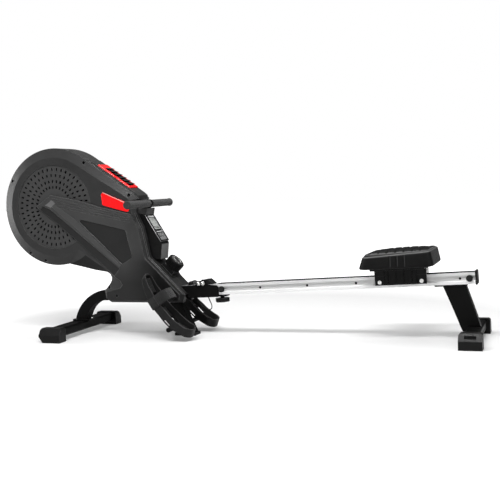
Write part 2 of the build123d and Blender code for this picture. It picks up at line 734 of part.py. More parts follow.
# Fixed shafts of the fan and the spool
def shafts():
    reach = FORK_IN + FORK_THICK
    return [rod(x, z, SHAFT_R, -reach - NUT_THIN, reach + NUT_THIN) for x, z in (FAN_CENTRE, SPOOL_CENTRE)]


save("drive_shafts", *shafts())


# Fan: impeller with its small pulley, flywheel disc and bearings
def impeller():
    hub_reach = FORK_IN - 1
    wheel = rod(*FAN_CENTRE, FAN_HUB_R, -FAN_HALF, FAN_HALF)
    wheel += rod(*FAN_CENTRE, FAN_R, -1.5, 1.5)
    for index in range(FAN_BLADES):
        blade = box(FAN_HUB_R - 4, FAN_R - 2, -FAN_HALF, FAN_HALF, -1.25, 1.25)
        wheel += Pos(FAN_X, 0, FAN_Z) * Rot(0, 360 * index / FAN_BLADES, 0) * blade
    wheel += rod(*FAN_CENTRE, FAN_PULLEY_R, FAN_HALF, hub_reach)
    wheel += rod(*FAN_CENTRE, FAN_PULLEY_R, -hub_reach, -FAN_HALF)
    wheel -= rod(*FAN_CENTRE, SHAFT_R + 1, -hub_reach, hub_reach)
    for low, high in ((-hub_reach, BEARING_W - hub_reach), (hub_reach - BEARING_W, hub_reach)):
        wheel -= rod(*FAN_CENTRE, BEARING_R + FIT, low, high)
    return wheel


def flywheel():
    disc = rod(*FAN_CENTRE, FLYWHEEL_R, -FLYWHEEL_IN - FLYWHEEL_THICK, -FLYWHEEL_IN)
    return disc - rod(*FAN_CENTRE, FAN_PULLEY_R + FIT, -FORK_IN, 0)


def bearing():
    ring = rod(*FAN_CENTRE, BEARING_R, -FORK_IN + 1, BEARING_W - FORK_IN + 1)
    return ring - rod(*FAN_CENTRE, SHAFT_R + FIT, -FORK_IN, 0)


save("impeller", impeller())
save("flywheel", flywheel())
save("fan_bearings", *both_sides(bearing()))


# Strap spool with its drive pulley, and the belt to the fan
def strap_spool():
    drum_half = WEB_HALF + 1
    spool = rod(*SPOOL_CENTRE, SPOOL_R, -drum_half, drum_half)
    for low in (-drum_half - SPOOL_FLANGE, drum_half):
        spool += rod(*SPOOL_CENTRE, SPOOL_R + SPOOL_LIP, low, low + SPOOL_FLANGE)
    spool += rod(*SPOOL_CENTRE, 2 * SHAFT_R, -FORK_IN + 1, FORK_IN - 1)
    spool += rod(*SPOOL_CENTRE, SPOOL_PULLEY_R, PULLEY_IN, PULLEY_IN + PULLEY_W)
    return spool - rod(*SPOOL_CENTRE, SHAFT_R + FIT, -FORK_IN, FORK_IN)


def belt_face(grow):
    """Loop of the open belt round both pulleys."""
    span = math.dist(FAN_CENTRE, SPOOL_CENTRE)
    small = FAN_PULLEY_R + grow
    large = SPOOL_PULLEY_R + grow
    lean = math.asin((large - small) / span)
    turn = math.atan2(SPOOL_Z - FAN_Z, SPOOL_X - FAN_X)
    ends = []
    for side in (1, -1):
        angle = turn + side * (math.pi / 2 + lean)
        ends.append([(x + r * math.cos(angle), z + r * math.sin(angle))
                     for (x, z), r in ((FAN_CENTRE, small), (SPOOL_CENTRE, large))])
    outline = make_face(Polyline(ends[0][0], ends[0][1], ends[1][1], ends[1][0], close=True))
    return outline + Pos(*FAN_CENTRE) * Circle(small) + Pos(*SPOOL_CENTRE) * Circle(large)


def drive_belt():
    middle = PULLEY_IN + PULLEY_W / 2
    outer = prism(belt_face(SOFT_GAP + BELT_THICK), middle - BELT_W / 2, middle + BELT_W / 2)
    return outer - prism(belt_face(SOFT_GAP), middle - BELT_W / 2, middle + BELT_W / 2)


save("strap_spool", strap_spool())
save("drive_belt", drive_belt())


# Magnet brake over the flywheel's rim
def brake_arm():
    tip = (FAN_X + BRAKE_TIP[0], BRAKE_TIP[1])
    arm = prism(link(BRAKE_CENTRE, tip, BRAKE_R), -FORK_IN, -FORK_IN + BRAKE_THICK)
    return arm - rod(*BRAKE_CENTRE, SHAFT_R + FIT, -FORK_IN - 1, 0)


def brake_magnets():
    lean = math.degrees(math.atan2(BRAKE_TIP[1] - BRAKE_PIVOT[1], BRAKE_TIP[0] - BRAKE_PIVOT[0]))
    pieces = []
    for along in (-8.0, MAGNET_LONG):
        x = FAN_X + BRAKE_TIP[0] - along * math.cos(math.radians(lean))
        z = BRAKE_TIP[1] - along * math.sin(math.radians(lean))
        y = -FORK_IN + BRAKE_THICK + MAGNET_THICK / 2
        pieces.append(Pos(x, y, z) * Rot(0, -lean, 0) * Box(MAGNET_LONG, MAGNET_THICK, MAGNET_WIDE))
    return pieces


save("brake_arm", brake_arm())
save("brake_magnets", *brake_magnets())


# Pull handle, its grips and the strap to the spool
def handle_bar():
    half = HANDLE_LENGTH / 2 - GRIP_END
    bar = rod(HANDLE_X, HANDLE_Z, HANDLE_BAR_R, -half, half)
    bar += rod(HANDLE_X, HANDLE_Z, COLLAR_R, -COLLAR_HALF, COLLAR_HALF)
    ear = box(HANDLE_X - COLLAR_R - 8, HANDLE_X, -COLLAR_HALF, COLLAR_HALF, HANDLE_Z - 5, HANDLE_Z + 5)
    return bar + ear


def hand_grip():
    end = HANDLE_LENGTH / 2
    grip = rod(HANDLE_X, HANDLE_Z, GRIP_R, -end + GRIP_END, -COLLAR_HALF)
    grip += rod(HANDLE_X, HANDLE_Z, GRIP_END_R, -end, -end + GRIP_END)
    grip = chamfer(grip.faces().sort_by(Axis.Y)[0].edges(), 2)
    return grip - rod(HANDLE_X, HANDLE_Z, HANDLE_BAR_R + FIT, -end + GRIP_END, 0)


def pull_strap():
    start = HANDLE_X - COLLAR_R - 8
    return box(SPOOL_X, start, -WEB_HALF, WEB_HALF, HANDLE_Z - WEB_THICK / 2, HANDLE_Z + WEB_THICK / 2)


save("handle_bar", handle_bar())
save("hand_grips", *both_sides(hand_grip()))
save("pull_strap", pull_strap())


# Handle cradle, under the grips and over the console
def handle_cradle():
    top = HANDLE_Z - COLLAR_R - SOFT_GAP
    outline = [
        (409.5, 552), (409.5, top + 8), (416, top + 8), (422, top), (452, top), (446, 533), (412, 543),
    ]
    return prism(rounded(beside_fan(outline), 2.0), -CONSOLE_HALF, CONSOLE_HALF)


save("handle_cradle", handle_cradle())


# Console: pod, face, lens and buttons
def pod_outline():
    back = [(463, 350), (437, 480), (421, 515), (412, 541)]
    return beside_fan([CONSOLE_TOP, CONSOLE_LOW, (513, 406), CONSOLE_CHIN, (475, 338)] + back)


def face_place(above):
    """Middle of the console's sloped front: X across the machine, Y up the face, Z out of it."""
    top = beside_fan([CONSOLE_TOP])[0]
    low = beside_fan([CONSOLE_LOW])[0]
    run = math.dist(top, low)
    out = ((top[1] - low[1]) / run, (low[0] - top[0]) / run)
    middle = ((top[0] + low[0]) / 2 + above * out[0], (top[1] + low[1]) / 2 + above * out[1])
    return Plane(origin=(middle[0], 0, middle[1]), x_dir=(0, 1, 0), z_dir=(out[0], 0, out[1])), run


def console_pod():
    pod = prism(pod_outline(), -CONSOLE_HALF, CONSOLE_HALF)
    inner_half = CONSOLE_HALF - CONSOLE_WALL
    pod -= prism(inset(pod_outline(), CONSOLE_WALL), -inner_half, inner_half)
    plane, run = face_place(0)
    window = Box(2 * (CONSOLE_HALF - CONSOLE_WALL) - 4, run - 12, 8)
    return pod - plane * window - slope_slab()


def slope_slab():
    """Space of the sloped front below the pod, where the knob's base stands."""
    return knob_seat() * box(-200, 200, -100, 100, -60, 0)


LENS_UP = 22.0
BUTTON_DOWN = -38.0
BUTTON_SIDES = (-1, 1)


def console_face():
    plane, run = face_place(0)
    plate = box(-CONSOLE_HALF, CONSOLE_HALF, -run / 2, run / 2, 0, FACE_THICK)
    plate = chamfer(plate.faces().sort_by(Axis.Z)[-1].edges(), 1)
    lens_side = LENS_W / 2 + FIT
    lens_end = LENS_H / 2 + FIT
    lens_low = FACE_THICK - LENS_THICK
    plate -= box(-lens_side, lens_side, LENS_UP - lens_end, LENS_UP + lens_end, lens_low, FACE_THICK)
    for side in BUTTON_SIDES:
        plate -= Pos(side * BUTTON_APART / 2, BUTTON_DOWN, 0) * Cylinder(BUTTON_R + FIT, 4 * FACE_THICK)
    return plane * plate


def console_lens():
    plane, run = face_place(0)
    return plane * box(-LENS_W / 2, LENS_W / 2, LENS_UP - LENS_H / 2, LENS_UP + LENS_H / 2,
                       FACE_THICK - LENS_THICK, FACE_THICK)


def button(side):
    plane, run = face_place(0)
    key = Pos(0, 0, FACE_THICK + 2 - BUTTON_TALL / 2) * Cylinder(BUTTON_R, BUTTON_TALL)
    key = chamfer(key.faces().sort_by(Axis.Z)[-1].edges(), 1)
    return plane * Pos(side * BUTTON_APART / 2, BUTTON_DOWN, 0) * key


save("console_pod", console_pod())
save("console_face", console_face())
save("console_lens", console_lens())
save("mode_button", button(-1))
save("reset_button", button(1))


# Resistance knob and its base
def knob_base():
    half = KNOB_BASE / 2
    base = Pos(0, 0, KNOB_BASE_H / 2) * Box(KNOB_BASE, KNOB_BASE, KNOB_BASE_H)
    base = chamfer(base.faces().sort_by(Axis.Z)[-1].edges(), 4)
    base += box(-half - 8, half + 14, -half - 4, half + 4, 0, 5)
    base += Pos(0, 0, KNOB_BASE_H + KNOB_H / 4) * Cylinder(KNOB_POST_R, KNOB_H / 2)
    return knob_seat() * (base - Cylinder(KNOB_SOCKET_R, 2 * KNOB_SOCKET))


def resistance_knob():
    low = KNOB_BASE_H + SOFT_GAP
    knob = Pos(0, 0, low + KNOB_H / 2) * Cylinder(KNOB_R, KNOB_H)
    knob = chamfer(knob.faces().sort_by(Axis.Z)[-1].edges(), 3)
    for index in range(KNOB_RIBS):
        rib = Pos(KNOB_R + 1, 0, low + KNOB_H / 2 - 4) * Cylinder(2.5, KNOB_H - 6)
        knob -= Rot(0, 0, 360 * index / KNOB_RIBS) * rib
    knob -= Pos(0, 0, low + KNOB_H / 4) * Cylinder(KNOB_POST_R + FIT, KNOB_H / 2 + 1)
    knob -= Pos(0, 0, low + KNOB_H) * Cylinder(DIAL_R + FIT, 2 * DIAL_DEEP)
    return knob_seat() * knob


def knob_dial():
    """Bright disc let into the top of the knob, with a finger notch that marks its setting."""
    top = KNOB_BASE_H + SOFT_GAP + KNOB_H
    dial = Pos(0, 0, top - DIAL_DEEP / 2 + DIAL_PROUD / 2) * Cylinder(DIAL_R, DIAL_DEEP + DIAL_PROUD)
    dial = chamfer(dial.faces().sort_by(Axis.Z)[-1].edges(), 1)
    dial -= Pos(0, DIAL_R - 8, top + DIAL_PROUD) * Sphere(4)
    return knob_seat() * dial


save("knob_base", knob_base())
save("resistance_knob", resistance_knob())
save("knob_dial", knob_dial())


# Pedals: sole with heel cup, and the instep strap
def toe_space(shrink):
    """What lies within the toe's outline, seen square to the sole, as far as the heel's full width."""
    tip = PEDAL_TOE_TIP - shrink
    toe = PEDAL_TOE_HALF - shrink
    heel = PEDAL_HEEL_HALF - shrink
    start, end = PEDAL_WIDENS
    plan = [(shrink - PEDAL_TOE_END, -tip), (15, -toe), (start, -toe), (end, -heel)]
    plan += [(x, -y) for x, y in reversed(plan)]
    face = make_face(Polyline(*plan, close=True))
    face = fillet(face.vertices().group_by(Axis.X)[0], PEDAL_TOE_ROUND - shrink)
    return Pos(0, 0, -PEDAL_BELOW) * extrude(face, PEDAL_BELOW + PEDAL_ABOVE)


def heel_space(shrink):
    """What lies within the heel's outline, which leans forward as the heel's end wall does."""
    lean = (PEDAL_HEEL_FOOT[0] - PEDAL_HEEL_RIM[0]) / (PEDAL_HEEL_RIM[1] - PEDAL_HEEL_FOOT[1])
    end = PEDAL_HEEL_FOOT[0] + lean * (PEDAL_HEEL_FOOT[1] + PEDAL_BELOW) - shrink
    half = PEDAL_HEEL_HALF - shrink
    face = make_face(Polyline((0, -half), (end, -half), (end, half), (0, half), close=True))
    face = fillet(face.vertices().group_by(Axis.X)[-1], PEDAL_HEEL_ROUND - shrink)
    rise = PEDAL_BELOW + PEDAL_ABOVE
    leaning = extrude(face, rise * math.hypot(lean, 1), dir=(-lean, 0, 1))
    behind = box(PEDAL_WIDENS[1], 2 * end, -half - 1, half + 1, -PEDAL_BELOW, PEDAL_ABOVE)
    return (Pos(0, 0, -PEDAL_BELOW) * leaning) & behind


def pedal_side(lift):
    """Side view of the pedal in its own frame: from the axle towards the heel, and up from the sole."""
    back = [
        (-82, 31), (-67, 18), (-37, 8), (10, -1), (50, -4), (79, -1), (113, 4), (144, 9), (174, 16),
        (204, 32), (236, 48), (270, 68),
    ]
    if lift:
        return [(x, z + lift) for x, z in back] + [(270, 160), (-82, 160)]
    return back + [
        (270, 110), PEDAL_HEEL_RIM, (194, 65), (154, 50), (95, 37), (56, 31), (10, 32), (-27, 31), (-76, 37),
    ]


def pedal():
    tray = prism(pedal_side(0), -PEDAL_HEEL_HALF, PEDAL_HEEL_HALF)
    tray &= toe_space(0) + heel_space(0)
    inside = prism(pedal_side(PEDAL_SOLE), -PEDAL_HEEL_HALF, PEDAL_HEEL_HALF)
    tray -= inside & (toe_space(PEDAL_WALL) + heel_space(PEDAL_WALL))
    hub_end = PEDAL_TOE_HALF - PEDAL_HUB_LONG
    tray += rod(0, 0, PEDAL_HUB_R, hub_end, PEDAL_TOE_HALF)
    wall_in = PEDAL_HEEL_HALF - PEDAL_WALL
    drain = box(130, 160, -wall_in, -wall_in + 24, -PEDAL_BELOW, 40)
    drain += prism([(130, 11), (160, 16.5), (160, 23), (130, 17.5)], -PEDAL_HEEL_HALF - 1, -wall_in + 1)
    tray = tray - drain - mirror(drain, about=Plane.XZ)
    return tray - rod(0, 0, PEDAL_AXLE_R + FIT, hub_end + PEDAL_HUB_END, PEDAL_TOE_HALF)


def strap_section(grow):
    half = PEDAL_TOE_HALF + SOFT_GAP + grow
    low = STRAP_LOW - SOFT_GAP - grow
    edges = [
        Line((-half, STRAP_SHOULDER), (-half, low)),
        Line((-half, low), (half, low)),
        Line((half, low), (half, STRAP_SHOULDER)),
        ThreePointArc((half, STRAP_SHOULDER), (0, STRAP_TOP + grow), (-half, STRAP_SHOULDER)),
    ]
    return Plane.YZ * make_face(edges)


def pedal_strap():
    band = extrude(strap_section(STRAP_THICK), STRAP_WIDE) - extrude(strap_section(0), STRAP_WIDE)
    return Pos(STRAP_START, 0, 0) * band


def on_left(shape):
    return Pos(0, -PEDAL_Y, 0) * ON_PEDAL * shape


left_pedal = on_left(pedal())
left_strap = on_left(pedal_strap())
save("left_pedal", left_pedal)
save("right_pedal", mirror(left_pedal, about=Plane.XZ))
save("left_pedal_strap", left_strap)
save("right_pedal_strap", mirror(left_strap, about=Plane.XZ))
axle_reach = PEDAL_Y - PEDAL_TOE_HALF + PEDAL_HUB_LONG - PEDAL_HUB_END - SOFT_GAP
save("pedal_axle", rod(PEDAL_X, PEDAL_AXLE_Z, PEDAL_AXLE_R, -axle_reach, axle_reach))


# Nuts of the fan, spool and pedal shafts, and the bolts of the front foot
def ring_nut(x, z, bore, y_low, y_high):
    return rod(x, z, 1.8 * bore, y_low, y_high) - rod(x, z, bore + FIT, y_low, y_high)


def frame_fasteners():
    fork_out = FORK_IN + FORK_THICK
    pieces = []
    for x, z in (FAN_CENTRE, SPOOL_CENTRE):
        pieces += both_sides(ring_nut(x, z, SHAFT_R, -fork_out - NUT_THIN, -fork_out))
    hub_start = PEDAL_Y - PEDAL_TOE_HALF - SOFT_GAP
    pieces += both_sides(ring_nut(PEDAL_X, PEDAL_AXLE_Z, PEDAL_AXLE_R, -hub_start, -PANEL_OUT - SOFT_GAP))
    plate_top = BAR_BOTTOM + BAR_H + POST_PLATE
    for spot in POST_BOLTS:
        pieces.append(Pos(FOOT_X + spot, 0, plate_top + 2.5) * Cylinder(6, 5))
    return pieces


save("frame_fasteners", *frame_fasteners())


# Cables: brake cable inside the covers, and the sensor lead that hangs under the bracket
def tube(points, radius):
    """Tube along straight runs joined by the largest arcs that the runs allow."""
    places = [Vector(*point) for point in points]
    radii = []
    for before, corner, after in zip(places, places[1:], places[2:]):
        turn = math.radians((corner - before).get_angle(after - corner))
        shorter = min((corner - before).length, (after - corner).length)
        radii.append(0.45 * shorter / math.tan(turn / 2))
    path = FilletPolyline(*places, radius=radii)
    print("bend radii", [round(value, 1) for value in radii], "length", round(path.length, 1))
    section = Plane(origin=places[0], z_dir=places[1] - places[0]) * Circle(radius)
    return sweep(section, path=path)


BRAKE_CABLE_R = 2.5
SENSOR_LEAD_R = 2.0
SENSOR_LEAD_Y = -14.0


def brake_cable():
    start = (knob_seat() * Pos(0, 0, KNOB_SOCKET - SOFT_GAP)).position
    under = (knob_seat() * Pos(0, 0, -34)).position
    middle = [
        (462, -12, 268), (434, -28, 305), (416, -40, 352), (400, -46, 402), (384, -47, 452),
        (366, -47, 500), (340, -46, 543), (312, -48, 558), (288, -59.3, 573),
    ]
    ends = [(start.X, 0, start.Z), (under.X, 0, under.Z)]
    return tube(ends + [(FAN_X + x, y, z) for x, y, z in middle], BRAKE_CABLE_R)


def sensor_lead():
    plate = PLATE_TOP - PLATE
    drops = [
        (12, -0.8), (17, -16), (25, -34), (25, -50), (12, -58),
        (-8, -48), (-26, -32), (-37, -16), (-42, -0.8),
    ]
    points = [(ON_RAIL * Pos(along, SENSOR_LEAD_Y, plate + drop)).position for along, drop in drops]
    return tube([(p.X, p.Y, p.Z) for p in points], SENSOR_LEAD_R)


save("brake_cable", brake_cable())
save("sensor_lead", sensor_lead())


# Rail: aluminium section with side channels, and what is fixed to it
def rail():
    outer = Rectangle(RAIL_W, RAIL_H)
    for side in (-1, 1):
        outer -= Pos(side * (RAIL_W - CHANNEL_DEEP) / 2, 0) * Rectangle(CHANNEL_DEEP, CHANNEL_H)
    lobe_h = (RAIL_H - CHANNEL_H) / 2 - 2 * RAIL_WALL
    for side in (-1, 1):
        middle = side * (RAIL_H - lobe_h - 2 * RAIL_WALL) / 2
        outer -= Pos(0, middle) * Rectangle(RAIL_W - 2 * RAIL_WALL, lobe_h)
    outer -= Rectangle(2 * (CHANNEL_FLOOR - RAIL_WALL), CHANNEL_H)
    profile = Plane(origin=(RAIL_START, 0, -PIVOT_ABOVE_RAIL), x_dir=(0, 1, 0), z_dir=(1, 0, 0)) * outer
    return ON_RAIL * extrude(profile, RAIL_LENGTH)


def rail_hinge_block():
    lug = PIN_R + 5.0
    wedge = [
        (0, -lug + 2), (RAIL_START, RAIL_TOP), (WEDGE_END, RAIL_TOP), (WEDGE_CREST, WEDGE_HIGH), (0, WEDGE_HIGH),
    ]
    block = prism(wedge, -CHEEK_IN + SLIDE_GAP, CHEEK_IN - SLIDE_GAP)
    block += rod(0, 0, lug, -CHEEK_IN + SLIDE_GAP, CHEEK_IN - SLIDE_GAP)
    return ON_RAIL * (block - rod(0, 0, PIN_R + FIT, -CHEEK_OUT, CHEEK_OUT))


def rail_screws():
    pieces = []
    for index in range(SCREW_COUNT):
        along = SCREW_FIRST + index * SCREW_STEP
        pieces += both_sides(ON_RAIL * rod(along, -PIVOT_ABOVE_RAIL, 5, -CHANNEL_FLOOR - 1, -CHANNEL_FLOOR))
    return pieces


def rail_stop(along):
    stop = rod(along, -PIVOT_ABOVE_RAIL, STOP_R, -RAIL_W / 2 - STOP_OUT, -RAIL_W / 2)
    stop = chamfer(stop.faces().sort_by(Axis.Y)[0].edges(), 2)
    return ON_RAIL * (stop + rod(along, -PIVOT_ABOVE_RAIL, CHANNEL_H / 2 - 1, -RAIL_W / 2, -CHANNEL_FLOOR))


def rail_end_cap():
    cap = box(RAIL_END, RAIL_END + 9, -RAIL_W / 2 - 3, RAIL_W / 2 + 3, RAIL_BOTTOM - 3, RAIL_TOP + 6)
    return ON_RAIL * chamfer(cap.faces().sort_by(Axis.X)[-1].edges(), 3)


save("rail", rail())
save("rail_hinge_block", rail_hinge_block())
save("rail_screws", *rail_screws())
save("rail_stops", *both_sides(rail_stop(STOP_FRONT)), *both_sides(rail_stop(STOP_REAR)))
save("rail_end_cap", rail_end_cap())


# Rear foot
def rear_leg():
    """Tapered leg that bends back under the rail and sits astride the rear bar."""
    top = [(ON_RAIL * Pos(REAR_LEG_TOP + along, 0, RAIL_BOTTOM)).position for along in (0, REAR_LEG_W)]
    bar_top = BAR_BOTTOM + BAR_H
    front = [(REAR_FOOT_X + x, z) for x, z in REAR_LEG_BEND]
    back = [(REAR_FOOT_X + REAR_LEG_HEEL, bar_top)]
    astride = [(REAR_FOOT_X - REAR_LEG_SEAT, bar_top - REAR_LEG_SADDLE)]
    astride.append((front[-1][0] + REAR_LEG_SADDLE / 2, bar_top - REAR_LEG_SADDLE))
    outline = [(top[1].X, top[1].Z)] + back + astride + front[::-1] + [(top[0].X, top[0].Z)]
    wall = 1.5 * TUBE_WALL
    hollow = [(top[1].X - wall, top[1].Z + 9), (back[0][0] - wall, bar_top + wall)]
    hollow += [(x + wall, max(z, bar_top + wall)) for x, z in front[::-1]]
    hollow.append((top[0].X + wall, top[0].Z + 9))
    leg = prism(outline, -REAR_LEG_HALF, REAR_LEG_HALF)
    leg -= prism(oval_section(REAR_FOOT_X, REAR_BAR_W, FIT), -REAR_LEG_HALF, REAR_LEG_HALF)
    leg -= prism(hollow, TUBE_WALL - REAR_LEG_HALF, REAR_LEG_HALF - TUBE_WALL)
    start = REAR_LEG_TOP - 30
    end = REAR_LEG_TOP + REAR_LEG_W + 8
    return leg + ON_RAIL * box(start, end, -CHEEK_IN, CHEEK_IN, RAIL_BOTTOM - PLATE, RAIL_BOTTOM)


save("rear_leg", rear_leg())
save("rear_stabilizer", stabilizer(REAR_FOOT_X, REAR_BAR_W, REAR_WIDTH))
rear_cap = foot_cap(REAR_FOOT_X, REAR_CAP_W, REAR_BAR_W, REAR_WIDTH, 0)
rear_cap -= cap_pocket(REAR_FOOT_X, REAR_WIDTH)
save("rear_caps", *both_sides(rear_cap))


# Seat: pad, board, carriage, bolts and rollers
def seat_section(height, inset_by, tilt):
    corner = SEAT_CORNER - inset_by / 2
    outline = RectangleRounded(SEAT_LONG - 2 * inset_by, SEAT_W - 2 * inset_by, corner)
    return Pos(SEAT_AT, 0, SEAT_BOTTOM + height) * Rot(0, -tilt, 0) * outline.face()


def seat_pad():
    top = SEAT_THICK - 2
    sections = [
        (0, 8, 0), (14, 1, 0), (34, 3, 1.2), (top - 10.5, 7, 2.5), (top - 2.5, 20, 1.5), (top, 42, 1.5),
    ]
    pad = loft([seat_section(*section) for section in sections])
    for along in SEAT_GROOVES:
        groove = Pos(SEAT_AT + along, -SEAT_W / 2, SEAT_BOTTOM + SEAT_THICK / 2) * Cylinder(3.0, SEAT_THICK)
        pad = pad - groove - mirror(groove, about=Plane.XZ)
    return ON_RAIL * pad


def seat_board():
    half = SEAT_LONG / 2 - BOARD_INSET
    side = SEAT_W / 2 - BOARD_INSET
    board = box(SEAT_AT - half, SEAT_AT + half, -side, side, SEAT_BOTTOM - SEAT_BOARD, SEAT_BOTTOM)
    return ON_RAIL * board


def seat_carriage():
    top = SEAT_BOTTOM - SEAT_BOARD
    start = SEAT_AT - CARRIAGE_LONG / 2
    end = SEAT_AT + CARRIAGE_LONG / 2
    outer = CARRIAGE_IN + CARRIAGE_THICK
    body = box(start, end, -outer, outer, -CARRIAGE_DROP, top)
    body -= box(start, end, -CARRIAGE_IN, CARRIAGE_IN, -CARRIAGE_DROP, top - CARRIAGE_THICK)
    runs = zip(CARRIAGE_STRIPS, CARRIAGE_STRIPS[1:])
    strips = [(low + 1.5, high - 1.5, 4 - CARRIAGE_DROP) for low, high in runs]
    strips.append((start - SEAT_AT, CARRIAGE_STRIPS[0] - 1.5, CARRIAGE_LEDGE))
    strips.append((CARRIAGE_STRIPS[-1] + 1.5, end - SEAT_AT, CARRIAGE_LEDGE))
    for low, high, bottom in strips:
        for side in (-1, 1):
            beside = side * (outer + CARRIAGE_RELIEF / 2)
            middle = Pos(SEAT_AT + (low + high) / 2, beside, (bottom + top) / 2)
            body += middle * Box(high - low, CARRIAGE_RELIEF, top - bottom)
    for along in (-0.5, 0.5):
        spot = SEAT_AT + along * ROLLER_SPREAD
        body -= rod(spot, -PIVOT_ABOVE_RAIL, ROLLER_BOLT_R + FIT, -outer - 5, outer + 5)
    return ON_RAIL * body


def roller_bolts():
    outer = CARRIAGE_IN + CARRIAGE_THICK
    inner = RAIL_W / 2 - ROLLER_W - 0.5
    pieces = []
    for along in (-0.5, 0.5):
        spot = SEAT_AT + along * ROLLER_SPREAD
        bolt = rod(spot, -PIVOT_ABOVE_RAIL, ROLLER_BOLT_R, -outer, -inner)
        bolt += rod(spot, -PIVOT_ABOVE_RAIL, 2 * ROLLER_BOLT_R, -outer - 4, -outer)
        pieces += both_sides(ON_RAIL * bolt)
    return pieces


def rollers(along):
    outer = RAIL_W / 2 - 0.5
    wheel = rod(SEAT_AT + along * ROLLER_SPREAD, -PIVOT_ABOVE_RAIL, ROLLER_R, -outer, -outer + ROLLER_W)
    wheel -= rod(SEAT_AT + along * ROLLER_SPREAD, -PIVOT_ABOVE_RAIL, ROLLER_BOLT_R + FIT, -outer - 1, 0)
    return both_sides(ON_RAIL * wheel)


save("seat_pad", seat_pad())
save("seat_board", seat_board())
save("seat_carriage", seat_carriage())
save("roller_bolts", *roller_bolts())
save("front_rollers", *rollers(-0.5))
save("rear_rollers", *rollers(0.5))
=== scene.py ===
import json
import math

import bmesh
import bpy
import numpy as np
from mathutils import Matrix, Vector


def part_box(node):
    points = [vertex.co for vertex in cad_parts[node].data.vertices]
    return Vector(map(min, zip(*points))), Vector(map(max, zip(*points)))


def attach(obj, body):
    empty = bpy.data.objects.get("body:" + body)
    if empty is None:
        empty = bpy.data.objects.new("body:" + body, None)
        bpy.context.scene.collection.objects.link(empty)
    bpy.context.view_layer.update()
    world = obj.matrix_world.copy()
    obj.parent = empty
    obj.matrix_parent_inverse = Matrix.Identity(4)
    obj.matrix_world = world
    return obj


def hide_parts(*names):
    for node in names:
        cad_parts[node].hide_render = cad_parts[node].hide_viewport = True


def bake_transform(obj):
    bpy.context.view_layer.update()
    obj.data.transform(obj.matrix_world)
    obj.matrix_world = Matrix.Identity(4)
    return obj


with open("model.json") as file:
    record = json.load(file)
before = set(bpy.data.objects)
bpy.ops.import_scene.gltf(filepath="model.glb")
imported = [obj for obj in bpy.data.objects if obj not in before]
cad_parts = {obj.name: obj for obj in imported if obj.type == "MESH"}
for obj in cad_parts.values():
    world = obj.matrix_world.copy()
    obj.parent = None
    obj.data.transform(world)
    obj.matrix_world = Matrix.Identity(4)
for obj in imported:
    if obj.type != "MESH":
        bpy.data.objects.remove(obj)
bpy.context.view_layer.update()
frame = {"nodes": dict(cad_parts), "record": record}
nodes = frame["nodes"]

# Places on the machine, in metres
FAN = Vector((-0.808, 0.0, 0.584))
PIVOT = Vector((-0.109, 0.0, 0.231))
TILT = math.radians(2.46)
NECK_ANGLE = math.radians(35)
PEDAL_AXLE = Vector((-0.312, 0.0, 0.194))
PEDAL_ANGLE = math.radians(57)
PEDAL_Y = 0.134
HANDLE = Vector((-0.3646, 0.0, 0.5832))
SEAT_AT = 0.855
CARRIAGE_STRIPS = (-0.062, -0.047, -0.015, 0.016, 0.048, 0.064)
CONSOLE = Vector((-0.3345, 0.0, 0.474))
KNOB_SEAT = Vector((-0.28316, 0.0, 0.28739))

# Ways on the machine
ACROSS = Vector((0, 1, 0))
CONSOLE_OUT = Vector((0.857, 0.0, 0.516)).normalized()
CONSOLE_UP = Vector((-0.516, 0.0, 0.857)).normalized()
KNOB_AXIS = Vector((0.71143, 0.0, 0.70276))
SIDES = (("left", -1), ("right", 1))


class Slope:
    """Places along, across and off a line that rises from an origin at an angle."""

    def __init__(self, origin, angle):
        self.origin = origin
        self.cos, self.sin = math.cos(angle), math.sin(angle)
        self.along = Vector((self.cos, 0.0, self.sin))
        self.off = Vector((-self.sin, 0.0, self.cos))

    def __call__(self, u, y, w):
        return self.origin + Vector((u * self.cos - w * self.sin, y, u * self.sin + w * self.cos))

    def back(self, point):
        """The place along, across and off the line of a point in the machine's frame."""
        offset = point - self.origin
        return offset.dot(self.along), offset.y, offset.dot(self.off)


# Along the rail from its pivot, down a pedal towards its heel, and down the neck from above the fan
on_rail = Slope(PIVOT, TILT)
on_pedal = Slope(PEDAL_AXLE, -PEDAL_ANGLE)
on_neck = Slope(FAN, -NECK_ANGLE)


def beside_fan(x, z, y):
    """Place by its distance behind the fan centre and its height, in millimetres."""
    return Vector((FAN.x + x / 1000, y, z / 1000))


def add_object(name, data):
    made = bpy.data.objects.new(name, data)
    bpy.context.scene.collection.objects.link(made)
    return made


# Camera, from the photograph's fitted view
CAMERA_AT = (1.3598, -3.4289, 0.6456)
YAW, PITCH, ROLL = 0.3516, 0.0753, -0.0425
LENS, SENSOR = 61.85, 36.0


def make_camera():
    level = math.cos(PITCH)
    ahead = Vector((-math.sin(YAW) * level, math.cos(YAW) * level, -math.sin(PITCH)))
    right = Vector((math.cos(YAW), math.sin(YAW), 0))
    up = right.cross(ahead)
    aside = right * math.cos(ROLL) + up * math.sin(ROLL)
    upright = up * math.cos(ROLL) - right * math.sin(ROLL)
    data = bpy.data.cameras.new("camera")
    data.lens = LENS
    data.sensor_width = SENSOR
    camera = add_object("camera", data)
    turn = Matrix((aside, upright, -ahead)).transposed().to_4x4()
    camera.matrix_world = Matrix.Translation(CAMERA_AT) @ turn
    bpy.context.scene.camera = camera


make_camera()


# Node materials
def grey(value):
    return (value, value, value, 1.0)


def times(colour, factor, added=0.0):
    return tuple(min(1.0, c * factor + added) for c in colour[:3]) + (1.0,)


